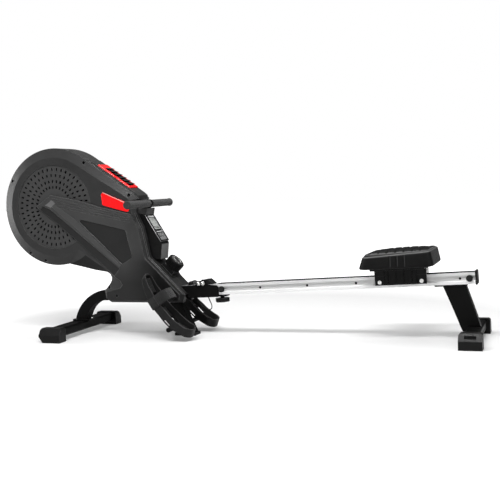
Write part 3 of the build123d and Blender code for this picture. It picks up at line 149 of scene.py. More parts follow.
class Nodes:
    """The nodes of one tree. A keyword names a node's setting, a socket, or a socket's number as In0."""

    def __init__(self, tree):
        self.tree = tree
        tree.nodes.clear()

    def add(self, kind, **values):
        node = self.tree.nodes.new("ShaderNode" + kind)
        for key, value in values.items():
            self.put(node, key, value)
        return node

    def put(self, node, key, value):
        if key[0].islower() and hasattr(node, key):
            setattr(node, key, value)
            return
        numbered = key.startswith("In") and key[2:].isdigit()
        socket = node.inputs[int(key[2:]) if numbered else key]
        if isinstance(value, bpy.types.NodeSocket):
            self.tree.links.new(value, socket)
        else:
            socket.default_value = value

    def math(self, operation, a, b=0.0):
        return self.add("Math", operation=operation, In0=a, In1=b).outputs[0]

    def plus(self, a, b):
        return self.math("ADD", a, b)

    def product(self, a, b):
        return self.math("MULTIPLY", a, b)

    def ramp(self, value, low, high, to_low=0.0, to_high=1.0):
        return self.add("MapRange", In0=value, In1=low, In2=high, In3=to_low, In4=to_high).outputs[0]

    def spread(self, value, to_low=0.0, to_high=1.0):
        """The range that a noise mostly keeps to, made into another."""
        return self.ramp(value, 0.3, 0.7, to_low, to_high)

    def mix(self, share, one, two):
        return self.add("Mix", data_type="RGBA", In0=share, In6=one, In7=two).outputs[2]

    def mottle(self, value, colour, dark, pale):
        """A colour that goes from darker to paler with a noise."""
        return self.mix(self.spread(value), times(colour, dark), times(colour, pale))

    def parts(self, vector):
        return self.add("SeparateXYZ", In0=vector).outputs[:3]

    def along(self, vector, way):
        """How far a vector reaches along a way."""
        return self.add("VectorMath", operation="DOT_PRODUCT", In0=vector, In1=way).outputs["Value"]


class Shade(Nodes):
    """One material: a principled shader and the nodes that feed it."""

    def __init__(self, name, **constants):
        self.material = bpy.data.materials.new(name)
        self.material.use_nodes = True
        super().__init__(self.material.node_tree)
        self.shader = self.add("BsdfPrincipled")
        self.feed(**constants)
        self.tree.links.new(self.shader.outputs[0], self.add("OutputMaterial").inputs[0])
        self.place = self.add("TexCoord").outputs["Object"]

    def feed(self, **values):
        for key, value in values.items():
            self.put(self.shader, key.replace("_", " "), value)

    def offset(self, point):
        """Each place on the surface, from a point."""
        node = self.add("VectorMath", operation="SUBTRACT", In0=self.place, In1=tuple(point))
        return node.outputs["Vector"]

    def noise(self, scale, detail=3.0, rough=0.55, stretch=None):
        where = self.place
        if stretch:
            where = self.add("Mapping", Vector=where, Scale=stretch).outputs[0]
        node = self.add("TexNoise", Vector=where, Scale=scale, Detail=detail, Roughness=rough)
        return node.outputs["Fac"]

    def cells(self, scale, feature="F1", **more):
        node = self.add("TexVoronoi", feature=feature, Vector=self.place, Scale=scale, **more)
        return node.outputs["Distance"]

    def attribute(self, name):
        return self.add("Attribute", attribute_name=name).outputs["Fac"]

    def rounded_normal(self, radius):
        return self.add("Bevel", samples=6, Radius=radius).outputs[0]

    def edge_mask(self, normal, noise_scale=60.0):
        """How far the surface turns at an edge, broken up as worn edges are."""
        same = self.along(normal, self.add("NewGeometry").outputs["Normal"])
        broken = self.ramp(self.noise(noise_scale, 4.0), 0.35, 0.7, 0.3, 1.0)
        return self.product(self.ramp(same, 0.995, 0.90), broken)

    def done(self, tone, height, depth, gloss, normal=None):
        """The material, from its colour, its relief and how deep that is, and its roughness."""
        bump = self.add("Bump", Strength=1.0, Distance=depth, Height=height)
        if normal is not None:
            self.put(bump, "Normal", normal)
        self.feed(Base_Color=tone, Normal=bump.outputs[0], Roughness=gloss)
        return self.material


DUST = (0.32, 0.31, 0.29, 1.0)
# How much paler plastic is where an edge is rubbed and where a painted highlight lies along it
RUBBED_AND_HIGHLIT = (2.2, 0.035)


def moulded(name, colour, rough, grain=700.0, depth=0.0001, wear=0.5, radius=0.0012, specular=0.5, coat=0.0,
            zones=()):
    """Injection-moulded plastic: pebbled mould grain, cloudy gloss, edges painted paler as rubbing and as a
    painted highlight, and a little dust on top.

    Each zone gives its share of another tone, from places on the object, and that tone as a factor."""
    s = Shade(name, Specular_IOR_Level=specular, Coat_Weight=coat, Coat_Roughness=0.12)
    soft = s.rounded_normal(radius)
    pebbles = s.cells(grain, "SMOOTH_F1", Smoothness=0.6)
    height = s.plus(s.product(pebbles, 0.7), s.product(s.noise(grain * 1.9, 2.0), 0.45))
    rub = s.noise(45.0, 6.0, 0.65, stretch=(1.0, 1.0, 0.35))
    tone = s.mottle(s.noise(7.0, 5.0, 0.6), colour, 0.88, 1.12)
    for share, factor in zones:
        tone = s.mix(share(s), tone, times(colour, factor))
    upward = s.parts(s.add("NewGeometry").outputs["Normal"])[2]
    dust = s.product(s.ramp(upward, 0.5, 1.0, 0.0, 0.03), s.ramp(rub, 0.4, 0.7, 0.2, 1.0))
    tone = s.mix(dust, tone, DUST)
    # Edges painted paler: partly rubbing, partly a painted highlight
    edge = s.edge_mask(soft)
    tone = s.mix(s.product(edge, wear), tone, times(colour, *RUBBED_AND_HIGHLIT))
    gloss = s.ramp(rub, 0.3, 0.75, rough - 0.06, rough + 0.07)
    return s.done(tone, height, depth, s.plus(gloss, s.product(edge, -0.06)), soft)


def powder_coat(name, colour, rough, specular):
    """Baked powder coat on steel tube: orange peel and fine specks, and edges painted paler, partly where the
    coat is thinner and partly as a painted highlight.
    """
    s = Shade(name, Specular_IOR_Level=specular)
    soft = s.rounded_normal(0.0018)
    specks = s.ramp(s.cells(900.0), 0.05, 0.16, 1.0, 0.0)
    tone = s.mottle(s.noise(5.0, 4.0), colour, 0.85, 1.15)
    tone = s.mix(s.product(specks, 0.25), tone, times(colour, 3.5))
    # Edges painted paler: thinner coat there and a painted highlight
    tone = s.mix(s.product(s.edge_mask(soft, 90.0), 0.35), tone, times(colour, 4.0))
    gloss = s.spread(s.noise(60.0, 5.0, 0.65), rough - 0.07, rough + 0.08)
    return s.done(tone, s.noise(420.0, 2.0, 0.4), 0.00010, gloss, soft)


def brushed_metal(name, colour, rough, stretch, depth):
    """Metal with drawn or brushed lines along one way, faint stains and bright edges."""
    s = Shade(name, Metallic=1.0, Anisotropic=0.35)
    soft = s.rounded_normal(0.0008)
    lines = s.noise(1.0, 3.0, 0.6, stretch=stretch)
    stain = s.noise(6.0, 6.0, 0.6)
    tone = s.mottle(lines, colour, 0.90, 1.06)
    tone = s.mix(s.ramp(stain, 0.55, 0.75, 0.0, 0.22), tone, times(colour, 0.72))
    gloss = s.plus(s.spread(lines, -0.06, 0.07), s.spread(stain, rough - 0.04, rough + 0.05))
    return s.done(tone, lines, depth, gloss, soft)


def rail_metal(name):
    """Satin anodised extrusion: drawn lines along it, painted shade in its channel and a painted reflection
    on its lower lobe.
    """
    s = Shade(name, Metallic=0.55, Anisotropic=0.3)
    soft = s.rounded_normal(0.0010)
    lines = s.noise(1.0, 3.0, 0.6, stretch=(3.0, 1400.0, 1400.0))
    stain = s.noise(6.0, 6.0, 0.6)
    height = s.along(s.offset(PIVOT), tuple(on_rail.off))
    # Painted reflection on the lower lobe, and painted shade in the channel above it
    lower = s.ramp(height, -0.0375, -0.0405)
    channel_shade = s.product(s.ramp(height, -0.0180, -0.0200), s.ramp(lower, 0.0, 1.0, 1.0, 0.0))
    tone = s.mix(s.spread(lines), grey(0.74), grey(0.84))
    tone = s.mix(channel_shade, tone, grey(0.66))
    tone = s.mix(s.product(lower, 0.9), tone, grey(0.98))
    tone = s.mix(s.ramp(stain, 0.55, 0.75, 0.0, 0.18), tone, grey(0.60))
    gloss = s.plus(s.spread(lines, -0.06, 0.07), s.spread(stain, 0.36, 0.46))
    return s.done(tone, lines, 0.00003, gloss, soft)


def foam(name, colour):
    """Closed-cell foam: fine pores, dull and slightly mottled, with a soft sheen."""
    s = Shade(name, Sheen_Weight=0.12, Sheen_Roughness=0.5, Specular_IOR_Level=0.2)
    pores = s.ramp(s.cells(1100.0), 0.08, 0.45)
    lumps = s.noise(240.0, 3.0)
    tone = s.mottle(s.noise(35.0, 4.0), colour, 0.82, 1.15)
    tone = s.mix(s.ramp(pores, 0.0, 0.5, 0.55, 0.0), tone, times(colour, 0.3))
    return s.done(tone, s.plus(pores, s.product(lumps, 0.8)), 0.00022, s.spread(lumps, 0.62, 0.82))


def vinyl(name, colour, rear_colour):
    """Seat cover: pebbled grain with fine creases, a paler rear panel, painted shade in its channels and a
    painted highlight along its edges and seams.
    """
    s = Shade(name, Specular_IOR_Level=0.12)
    pebbles = s.cells(520.0, "SMOOTH_F1", Smoothness=0.5)
    creases = s.ramp(s.cells(170.0, "DISTANCE_TO_EDGE"), 0.0, 0.08)
    wrinkle = s.noise(24.0, 5.0, 0.6)
    height = s.plus(s.product(pebbles, 0.8), s.product(creases, 0.25))
    height = s.plus(height, s.product(wrinkle, 0.5))
    tone = s.mottle(wrinkle, colour, 0.85, 1.2)
    rear = s.mottle(wrinkle, rear_colour, 0.9, 1.1)
    tone = s.mix(s.ramp(s.attribute("rear"), -0.0006, 0.0006), tone, rear)
    # Painted shade in the channels and along the rear panel's outline
    tone = s.mix(s.product(s.attribute("channel_shade"), 0.8), tone, times(colour, 0.25))
    # Painted highlight along the pad's two edges and beside its side seams, with a little more gloss there
    seat_highlight = s.attribute("seat_highlight")
    tone = s.mix(s.product(seat_highlight, 0.8), tone, grey(0.14))
    gloss = s.spread(s.noise(90.0, 4.0), 0.42, 0.58)
    return s.done(tone, height, 0.00025, s.math("SUBTRACT", gloss, s.product(seat_highlight, 0.12)))


WEAVE_ROWS, WEAVE_PITCH = 46.0, 0.0022


def webbing(name, colour):
    """Woven strap: ribs across and a herringbone of yarns along it, from the band's own places."""
    s = Shade(name, Sheen_Weight=0.12, Sheen_Roughness=0.45, Specular_IOR_Level=0.15)
    along, across, _ = s.parts(s.add("UVMap", uv_map="band").outputs[0])
    ribs = s.math("SINE", s.product(along, 2 * math.pi / WEAVE_PITCH))
    slant = s.math("PINGPONG", s.product(across, WEAVE_ROWS / 4), 1.0)
    yarn = s.math("SINE", s.plus(s.product(along, math.pi / WEAVE_PITCH), s.product(slant, 9.0)))
    weave = s.plus(s.product(ribs, 0.5), s.product(yarn, 0.5))
    fuzz = s.noise(1500.0, 2.0)
    tone = s.mix(s.ramp(weave, -1.0, 1.0), times(colour, 0.55), times(colour, 1.3))
    tone = s.mix(s.ramp(s.noise(40.0, 4.0), 0.5, 0.75, 0.0, 0.25), tone, times(colour, 2.0))
    return s.done(tone, s.plus(weave, s.product(fuzz, 0.7)), 0.0003, s.spread(fuzz, 0.7, 0.9))


def rubber(name, colour, rough=0.7):
    """Matt rubber with a bloom on it and fine speckle."""
    s = Shade(name, Specular_IOR_Level=0.3)
    soft = s.rounded_normal(0.0012)
    bloom = s.noise(18.0, 5.0, 0.6)
    tone = s.mix(s.ramp(bloom, 0.35, 0.75, 0.0, 0.6), colour, times(colour, 1.9))
    return s.done(tone, s.noise(700.0, 2.0), 0.00012, s.spread(bloom, rough - 0.08, rough + 0.1), soft)


def display(name):
    """Liquid-crystal glass: grey-green with a faint row structure under a clear top."""
    s = Shade(name, Coat_Weight=0.8, Coat_Roughness=0.05, Specular_IOR_Level=0.5)
    rows = s.noise(1.0, 1.0, 0.5, stretch=(900.0, 900.0, 900.0))
    cloud = s.noise(30.0, 3.0)
    tone = s.mix(s.spread(cloud), (0.44, 0.46, 0.44, 1.0), (0.52, 0.54, 0.52, 1.0))
    return s.done(tone, rows, 0.00003, s.spread(cloud, 0.22, 0.32))


# Zones of another tone, each from places on the object
def low_front(x_from, x_to, z_from, z_to):
    """A zone of the covers behind one place and below a height, each with a soft edge."""
    def zone(s):
        x, _, z = s.parts(s.place)
        return s.product(s.ramp(x, x_from, x_to), s.ramp(z, z_from, z_to))
    return zone


# Painted shade behind the pedals and down the sloped face; the slope's foot, darker; painted shade on the
# panels' flank beside the pedals
cover_pedal_shade_zone = low_front(-0.405, -0.400, 0.43, 0.42)
foot_zone = low_front(-0.206, -0.202, 0.192, 0.187)
panel_pedal_shade_zone = low_front(-0.46, -0.33, 0.40, 0.33)


def sunk_shade_zone(s):
    """Painted shade in the sunk fields of the side panels, by their depth, and on the flank towards its foot.
    """
    _, y, z = s.parts(s.place)
    sunk = s.ramp(s.math("ABSOLUTE", y), 0.0788, 0.0780)
    return s.math("MAXIMUM", sunk, s.ramp(z, 0.34, 0.24))


def under_zone(s):
    """The covers' sloped underside behind the drum, which lies in its own shade."""
    behind, _, above = s.parts(s.offset(FAN))
    reach = s.math("SQRT", s.plus(s.product(behind, behind), s.product(above, above)))
    edge = s.plus(s.product(behind, 0.661), above)
    share = s.product(s.ramp(edge, -0.120, -0.123), s.ramp(reach, 0.2655, 0.2665))
    share = s.product(share, s.ramp(behind, 0.050, 0.060))
    return s.product(share, s.ramp(above, -0.300, -0.296))


def button_zone(s):
    """The lower field of the console's face, round the buttons."""
    return s.ramp(s.along(s.offset(CONSOLE), tuple(CONSOLE_UP)), -0.0250, -0.0256)


def sole_zone(s):
    """The pedals' soles, which face out of the tray."""
    normal = s.add("TexCoord").outputs["Normal"]
    return s.ramp(s.along(normal, tuple(on_pedal.off)), 0.5, 0.8)


def groove_zone(s):
    """The grooves between the carriage's side panels."""
    along = s.along(s.offset(PIVOT), tuple(on_rail.along))
    share = 0.0
    for place in CARRIAGE_STRIPS:
        near = s.math("ABSOLUTE", s.math("SUBTRACT", along, SEAT_AT + place))
        share = s.math("MAXIMUM", share, s.ramp(near, 0.0032, 0.0024))
    return share


def slot_shade_zone(s):
    """Painted shade on the walls of the grille's slots, by their depth below its face."""
    face = abs(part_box("left_grille")[0][1])
    return s.ramp(s.math("ABSOLUTE", s.parts(s.place)[1]), face - 0.0003, face - 0.0006)


RED = (1.0, 0.008, 0.010, 1.0)
TURNED_LINES = (300.0, 300.0, 60.0)
looks = {}


def add_look(make, name, *sizes, **more):
    looks[name] = make(name, *sizes, **more)


add_look(powder_coat, "frame_black", grey(0.0042), 0.38, 0.07)
add_look(moulded, "cover_grey", grey(0.027), 0.40, 620.0, 0.00016, wear=0.9, radius=0.0034,
         specular=0.22, zones=[(cover_pedal_shade_zone, 0.70), (under_zone, 0.08), (foot_zone, 0.08)])
add_look(moulded, "panel_black", grey(0.043), 0.38, 760.0, 0.00010, wear=0.8, radius=0.0026,
         specular=0.22, zones=[(sunk_shade_zone, 0.42), (panel_pedal_shade_zone, 0.16)])
add_look(moulded, "grille_black", grey(0.043), 0.46, 620.0, 0.00012, wear=0.2, specular=0.22,
         zones=[(slot_shade_zone, 0.02)])
add_look(moulded, "red", RED, 0.24, 900.0, 0.00003, wear=0.2, radius=0.0030, specular=0.4, coat=0.35)
add_look(moulded, "black_plastic", grey(0.0060), 0.38, 640.0, 0.00014, wear=0.8, radius=0.0024,
         specular=0.16)
add_look(brushed_metal, "zinc", (0.90, 0.90, 0.88, 1.0), 0.24, TURNED_LINES, 0.00004)
add_look(brushed_metal, "dark_steel", (0.05, 0.05, 0.055, 1.0), 0.38, (60.0, 500.0, 60.0), 0.00005)
add_look(rail_metal, "rail_alu")
add_look(foam, "grip_foam", grey(0.030))
add_look(vinyl, "seat_skin", grey(0.0042), grey(0.052))
add_look(rubber, "rubber_black", grey(0.006))
add_look(moulded, "cradle_grey", grey(0.045), 0.48, wear=0.5, specular=0.22)
add_look(moulded, "console_silver", (0.60, 0.605, 0.61, 1.0), 0.30, 900.0, 0.00004, wear=0.2,
         zones=[(button_zone, 0.34)])
add_look(display, "display")
add_look(rubber, "button_grey", grey(0.16), 0.55)
add_look(webbing, "webbing", grey(0.017))
add_look(moulded, "fan_plastic", grey(0.002), 0.6, 500.0, 0.0001, wear=0.0, specular=0.05)
add_look(moulded, "roller_white", (0.68, 0.67, 0.63, 1.0), 0.4, 700.0, 0.00006, wear=0.1)
inside_look = moulded("inside", grey(0.0022), 0.6, 500.0, 0.0001, wear=0.0, specular=0.05)
dial_look = moulded("dial", grey(0.016), 0.34, 900.0, 0.00004, wear=0.9, specular=0.3)
tick_look = moulded("dial_tick", grey(0.55), 0.4, 900.0, 0.00002, wear=0.0)
knob_look = moulded("knob", grey(0.0028), 0.46, 800.0, 0.00006, wear=0.9, radius=0.0012, specular=0.08)
carriage_look = moulded("carriage", grey(0.0105), 0.42, 640.0, 0.00014, wear=0.8, radius=0.0018,
                        specular=0.12, zones=[(groove_zone, 0.04)])
pedal_look = moulded("pedal", grey(0.013), 0.42, 640.0, 0.00014, wear=0.8, radius=0.0020,
                     specular=0.12, zones=[(sole_zone, 0.14)])
screw_look = brushed_metal("black_screw", (0.012, 0.012, 0.013, 1.0), 0.42, TURNED_LINES, 0.00004)
for row in frame["record"]["subparts"]:
    node = nodes[row["node"]]
    node.data.materials.clear()
    node.data.materials.append(looks[row["material_slot"]])
for name, look in (("cover_screws", screw_look), ("rail_screws", screw_look), ("flywheel", inside_look),
                   ("fan_forks", inside_look), ("brake_arm", inside_look), ("knob_dial", dial_look),
                   ("resistance_knob", knob_look), ("seat_carriage", carriage_look),
                   ("left_pedal", pedal_look), ("right_pedal", pedal_look)):
    nodes[name].data.materials[0] = look


# Mesh pieces
def piece(name, points, faces, body, slot, look=None, smooth=True, bands=None):
    """A mesh in the machine's frame that rides on a body, if one is named.

    bands gives each point's place along and across a strap."""
    mesh = bpy.data.meshes.new(name)
    mesh.from_pydata([tuple(p) for p in points], [], faces)
    if bands:
        layer = mesh.uv_layers.new(name="band")
        for loop in mesh.loops:
            layer.data[loop.index].uv = bands[loop.vertex_index]
    facing = bmesh.new()
    facing.from_mesh(mesh)
    bmesh.ops.recalc_face_normals(facing, faces=facing.faces)
    facing.to_mesh(mesh)
    facing.free()
    for face in mesh.polygons:
        face.use_smooth = smooth
    mesh.materials.append(look or looks[slot])
    made = add_object(name, mesh)
    if body:
        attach(made, body)
    return made


def soften(made, width):
    """Round a piece's edges and keep its flat faces flat."""
    bevel = made.modifiers.new("round", "BEVEL")
    bevel.width = width
    bevel.segments = 2
    bevel.limit_method = "ANGLE"
    bevel.angle_limit = math.radians(30)
    bevel.harden_normals = True
    return made


def plate(name, outline, out, thick, body, slot, look=None, round_by=0.0004):
    """A flat plate: its outline's points, the way it faces, and how thick it is."""
    points = outline + [p + out * thick for p in outline]
    made = piece(name, points, skin(2, len(outline)), body, slot, look, smooth=False)
    return soften(made, round_by) if round_by else made


def rectangle(x0, x1, y0, y1):
    return [(x0, y0), (x1, y0), (x1, y1), (x0, y1)]


def corner_arcs(half_a, half_b, corner, steps):
    """The four round corners of a rectangle, in their order round it."""
    arcs = []
    for a, b, start in ((1, 1, 0), (-1, 1, 90), (-1, -1, 180), (1, -1, 270)):
        turns = [math.radians(start + 90 * step / steps) for step in range(steps + 1)]
        arcs.append([(a * (half_a - corner) + corner * math.cos(turn),
                      b * (half_b - corner) + corner * math.sin(turn)) for turn in turns])
    return arcs


def skin(rings, size, closed=False, ends=True):
    """Faces between rings of points that follow each other, and over both ends where these don't meet."""
    faces = []
    for i in range(rings if closed else rings - 1):
        low, high = i * size, (i + 1) % rings * size
        faces += [[low + j, low + (j + 1) % size, high + (j + 1) % size, high + j] for j in range(size)]
    if ends and not closed:
        faces += [list(range(size)), list(range((rings - 1) * size, rings * size))]
    return faces


def heading(path, i, closed):
    """The way that a path runs at one of its points."""
    count = len(path)
    before = path[i - 1] if closed or i else path[i]
    after = path[(i + 1) % count] if closed or i < count - 1 else path[i]
    return (after - before).normalized()


def circle(centre, one, two, radius, steps):
    """Points round a centre, in the plane of two ways."""
    turns = [2 * math.pi * step / steps for step in range(steps)]
    return [centre + (one * math.cos(turn) + two * math.sin(turn)) * radius for turn in turns]


def band(name, path, side, half, thick, body, slot, closed=False, look=None):
    """A strap with round edges along a path in one plane, side being the way across it."""
    section = sum(corner_arcs(half, thick / 2, 0.42 * thick, 4), [])
    points, places, run = [], [], 0.0
    for i, here in enumerate(path):
        out = heading(path, i, closed).cross(side).normalized()
        run += (here - path[i - 1]).length if i else 0.0
        for across, lift in section:
            points.append(here + side * across + out * lift)
            places.append((run, across))
    faces = skin(len(path), len(section), closed)
    return piece(name, points, faces, body, slot, look, bands=places)


def turned(name, profile, centre, axis, body, slot, steps=48):
    """A turned piece: its profile is pairs of place along the axis and radius."""
    axis = axis.normalized()
    one = axis.orthogonal().normalized()
    two = axis.cross(one)
    points = []
    for along, radius in profile:
        points += circle(centre + axis * along, one, two, radius, steps)
    return piece(name, points, skin(len(profile), steps), body, slot)


def bead(name, path, radius, body, slot, look, steps=8):
    """A round bead along a closed path."""
    points = []
    for i, here in enumerate(path):
        ahead = heading(path, i, True)
        one = ahead.cross(Vector((0.0, 0.001, 1.0))).normalized()
        points += circle(here, one, ahead.cross(one), radius, steps)
    return piece(name, points, skin(len(path), steps, True), body, slot, look)


# Cords: the sensor lead under the bracket and the brake cable inside the covers
def cord(name, route, diameter, replaced):
    data = bpy.data.curves.new(name, "CURVE")
    data.dimensions = "3D"
    data.bevel_depth = diameter / 2
    data.bevel_resolution = 4
    data.use_fill_caps = True
    spline = data.splines.new("NURBS")
    spline.points.add(len(route) - 1)
    for point, place in zip(spline.points, route):
        point.co = (*place, 1.0)
    spline.order_u = 3
    spline.use_endpoint_u = True
    spline.resolution_u = 10
    data.materials.append(looks["rubber_black"])
    made = add_object(name, data)
    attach(made, "frame")
    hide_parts(replaced)


LEAD_Y, LEAD_TOP = -0.014, 62.0
lead_route = [on_rail(u / 1000, LEAD_Y, (drop - LEAD_TOP) / 1000) for u, drop in (
    (12, -0.8), (17, -16), (25, -34), (25, -50), (12, -58), (-8, -48), (-26, -32), (-37, -16), (-42, -0.8))]
cord("sensor_lead_cord", lead_route, 0.004, "sensor_lead")
brake_route = [KNOB_SEAT + KNOB_AXIS * 0.0057, KNOB_SEAT - KNOB_AXIS * 0.034] + [
    beside_fan(x, z, y / 1000) for x, y, z in (
        (462, -12, 268), (434, -28, 305), (416, -40, 352), (400, -46, 402), (384, -47, 452),
        (366, -47, 500), (340, -46, 543), (312, -48, 558), (288, -59.3, 573))]
cord("brake_cable_cord", brake_route, 0.005, "brake_cable")


# Seat cushion: moulded pad with two crisp edges round its top, crowned by cloth pressure, then its channels
SEAT_HALF_LONG, SEAT_HALF_WIDE, SEAT_CORNER = 0.141, 0.135, 0.034
SEAT_LOW = 0.031
CORNER_STEPS, SIDE_STEPS = 8, 46
SIDE_CHANNELS = (-0.020, 0.008, 0.036)
SIDE_FADE = (0.036, 0.042)
SEAM_GAP = 0.0032
TOP_CHANNELS = (-0.066, -0.033, 0.0, 0.033, 0.066, 0.098)
TOP_HALF = 0.126
REAR_HALF, REAR_LOW, REAR_GAP = 0.098, 0.037, 0.0015
SIDE_DEEP, LINE_DEEP, TOP_DEEP = 0.0026, 0.0009, 0.0030
# The two edges' heights, at the front and at the rear
EDGE_LOW = (0.0475, 0.0597)
EDGE_HIGH = (0.0588, 0.0650)
# Levels of the pad: height at the front and at the rear, inset all round, and further inset at the front,
# in tenths of a millimetre
SEAT_LEVELS = [
    (4, 4, 90, 0), (7, 7, 10, 0), (24, 24, -42, -30), (120, 130, -28, -20), (240, 290, -2, 0),
    (370, 460, 26, 20), (466, 586, 46, 30), (476, 597, 50, 32), (482, 604, 66, 36), (522, 622, 96, 50),
    (570, 637, 128, 60), (588, 648, 136, 65), (595, 654, 152, 70), (597, 657, 195, 80), (597, 657, 245, 90),
    (584, 644, 268, 100), (586, 646, 286, 100), (612, 664, 310, 100), (622, 672, 360, 90),
    (626, 675, 440, 80), (626, 676, 530, 70), (626, 676, 630, 60), (625, 675, 740, 50), (624, 674, 850, 40),
    (623, 673, 960, 30), (622, 672, 1070, 20), (621, 671, 1180, 10),
]
CROWN_LEVEL = 17
SWELL_CAP, CLOTH_FRAMES = 0.005, 20
CLOTH = {"vertex_group_mass": "held", "use_pressure": True, "uniform_pressure_force": 4.0, "quality": 6,
         "tension_stiffness": 18.0, "compression_stiffness": 18.0, "bending_stiffness": 1.5}


def rounded_ring(half_long, half_wide, corner):
    """A rectangle with round corners, with the same number of points whatever its size."""
    ring = []
    arcs = corner_arcs(half_long, half_wide, corner, CORNER_STEPS)
    for arc, after in zip(arcs, arcs[1:] + arcs[:1]):
        ring += arc
        (u0, y0), (u1, y1) = arc[-1], after[0]
        for step in range(1, SIDE_STEPS):
            share = step / SIDE_STEPS
            ring.append((u0 + (u1 - u0) * share, y0 + (y1 - y0) * share))
    return ring


def ease(value, low, high):
    return max(0.0, min(1.0, (value - low) / (high - low)))


def seat_share(u):
    """How far along the pad a place is, from its front to its rear."""
    return ease(u, -SEAT_HALF_LONG, SEAT_HALF_LONG)


def seat_ring(front, rear, inset, further):
    half_long = SEAT_HALF_LONG - inset
    ring = rounded_ring(half_long, SEAT_HALF_WIDE - inset, max(0.008, SEAT_CORNER - inset / 3))
    points = []
    for u, y in ring:
        moved = u + further * max(0.0, -u / half_long)
        height = front + (rear - front) * seat_share(moved)
        points.append(on_rail(SEAT_AT + moved, y, SEAT_LOW + height))
    return points


def apply_all(made):
    bpy.context.view_layer.objects.active = made
    for modifier in list(made.modifiers):
        bpy.ops.object.modifier_apply(modifier=modifier.name)


def blow_up(made, held):
    """Cloth pressure from inside, with some points held and none moving further than the cap."""
    scene = bpy.context.scene
    rest = np.empty(len(made.data.vertices) * 3)
    made.data.vertices.foreach_get("co", rest)
    group = made.vertex_groups.new(name="held")
    group.add(held, 1.0, "REPLACE")
    cloth = made.modifiers.new("cloth", "CLOTH")
    for key, value in CLOTH.items():
        setattr(cloth.settings, key, value)
    cloth.settings.effector_weights.gravity = 0.0
    cloth.point_cache.frame_start = 1
    cloth.point_cache.frame_end = CLOTH_FRAMES
    for number in range(1, CLOTH_FRAMES + 1):
        scene.frame_set(number)
    apply_all(made)
    scene.frame_set(1)
    made.vertex_groups.clear()
    rest = rest.reshape(-1, 3)
    blown = np.empty(rest.size)
    made.data.vertices.foreach_get("co", blown)
    move = blown.reshape(-1, 3) - rest
    length = np.linalg.norm(move, axis=1, keepdims=True)
    move *= np.minimum(1.0, SWELL_CAP / np.maximum(length, 1e-9))
    made.data.vertices.foreach_set("co", (rest + move).ravel())


def bell(distance, width):
    return math.exp(-(distance / width) ** 2)


def bells(u, places, width):
    return sum(bell(u - place, width) for place in places)


def seat_marks(u, y, w, normal):
    """What the pad shows at a place: rear panel, painted shade in its channels and a painted highlight on its
    edges and seams, and how far it sinks there.
    """
    share = seat_share(u)
    edge_low = SEAT_LOW + EDGE_LOW[0] + (EDGE_LOW[1] - EDGE_LOW[0]) * share
    edge_high = SEAT_LOW + EDGE_HIGH[0] + (EDGE_HIGH[1] - EDGE_HIGH[0]) * share
    facing, upward = normal.dot(on_rail.along), normal.dot(on_rail.off)
    inside = min(REAR_HALF - abs(y), w - REAR_LOW, edge_low - REAR_GAP - w, (facing - 0.6) * 0.03)
    panel_line = bell(inside, 0.0014) if facing > 0.3 else 0.0
    side_depth = top_depth = seam = 0.0
    if abs(normal.y) > 0.3 and w < edge_low:
        risen = ease(w, *SIDE_FADE)
        seam = risen * bells(u - SEAM_GAP, SIDE_CHANNELS, 0.0012)
        if abs(y) > 0.1:
            side_depth = risen * ease(edge_low - w, 0.001, 0.006) * bells(u, SIDE_CHANNELS, 0.0020)
    if upward > 0.4 and w > edge_high - 0.004:
        top_depth = bells(u, TOP_CHANNELS, 0.0042) * ease(TOP_HALF - abs(y), 0.0, 0.012)
    # Painted highlight near the two edges and beside the side seams
    near_edge = max(bell(w - edge_low, 0.0020), bell(w - edge_high, 0.0022))
    edge_highlight = near_edge * (1.0 - min(1.0, top_depth)) if upward < 0.95 else 0.0
    channel_shade = min(1.0, side_depth + 0.6 * panel_line + 0.7 * top_depth)
    sink = SIDE_DEEP * min(1.0, side_depth) + LINE_DEEP * panel_line + TOP_DEEP * min(1.0, top_depth)
    return (inside, channel_shade, max(edge_highlight, 0.35 * seam)), sink


def seat_cushion():
    points = []
    for level in SEAT_LEVELS:
        points += seat_ring(*(size / 10000 for size in level))
    levels = len(SEAT_LEVELS)
    count = len(points) // levels
    faces = skin(levels, count, ends=False)
    for start in (0, (levels - 1) * count):
        centre = sum((points[start + j] for j in range(count)), Vector()) / count
        faces += [[start + j, start + (j + 1) % count, len(points)] for j in range(count)]
        points.append(centre)
    made = piece("seat_cushion", points, faces, "seat", "seat_skin")
    bottom = len(points) - 2
    blow_up(made, list(range(CROWN_LEVEL * count)) + [bottom])
    divide = made.modifiers.new("divide", "SUBSURF")
    divide.levels = 1
    divide.render_levels = 1
    apply_all(made)
    mesh = made.data
    normals = [v.normal.copy() for v in mesh.vertices]
    marks = [mesh.attributes.new(key, "FLOAT", "POINT") for key in ("rear", "channel_shade", "seat_highlight")]
    for vertex, normal in zip(mesh.vertices, normals):
        u, y, w = on_rail.back(vertex.co)
        values, sink = seat_marks(u - SEAT_AT, y, w, normal)
        for mark, value in zip(marks, values):
            mark.data[vertex.index].value = value
        vertex.co = vertex.co - normal * sink
    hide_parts("seat_pad")


seat_cushion()
PIN_PROFILE = [(0.0, 0.0042), (0.0, 0.0056), (0.003, 0.0060), (0.0052, 0.0060), (0.0054, 0.0044),
               (0.0200, 0.0044), (0.0208, 0.0036)]
turned("seat_pin", PIN_PROFILE, on_rail(0.9625, -0.030, 0.0215), -on_rail.off, "seat", "zinc")


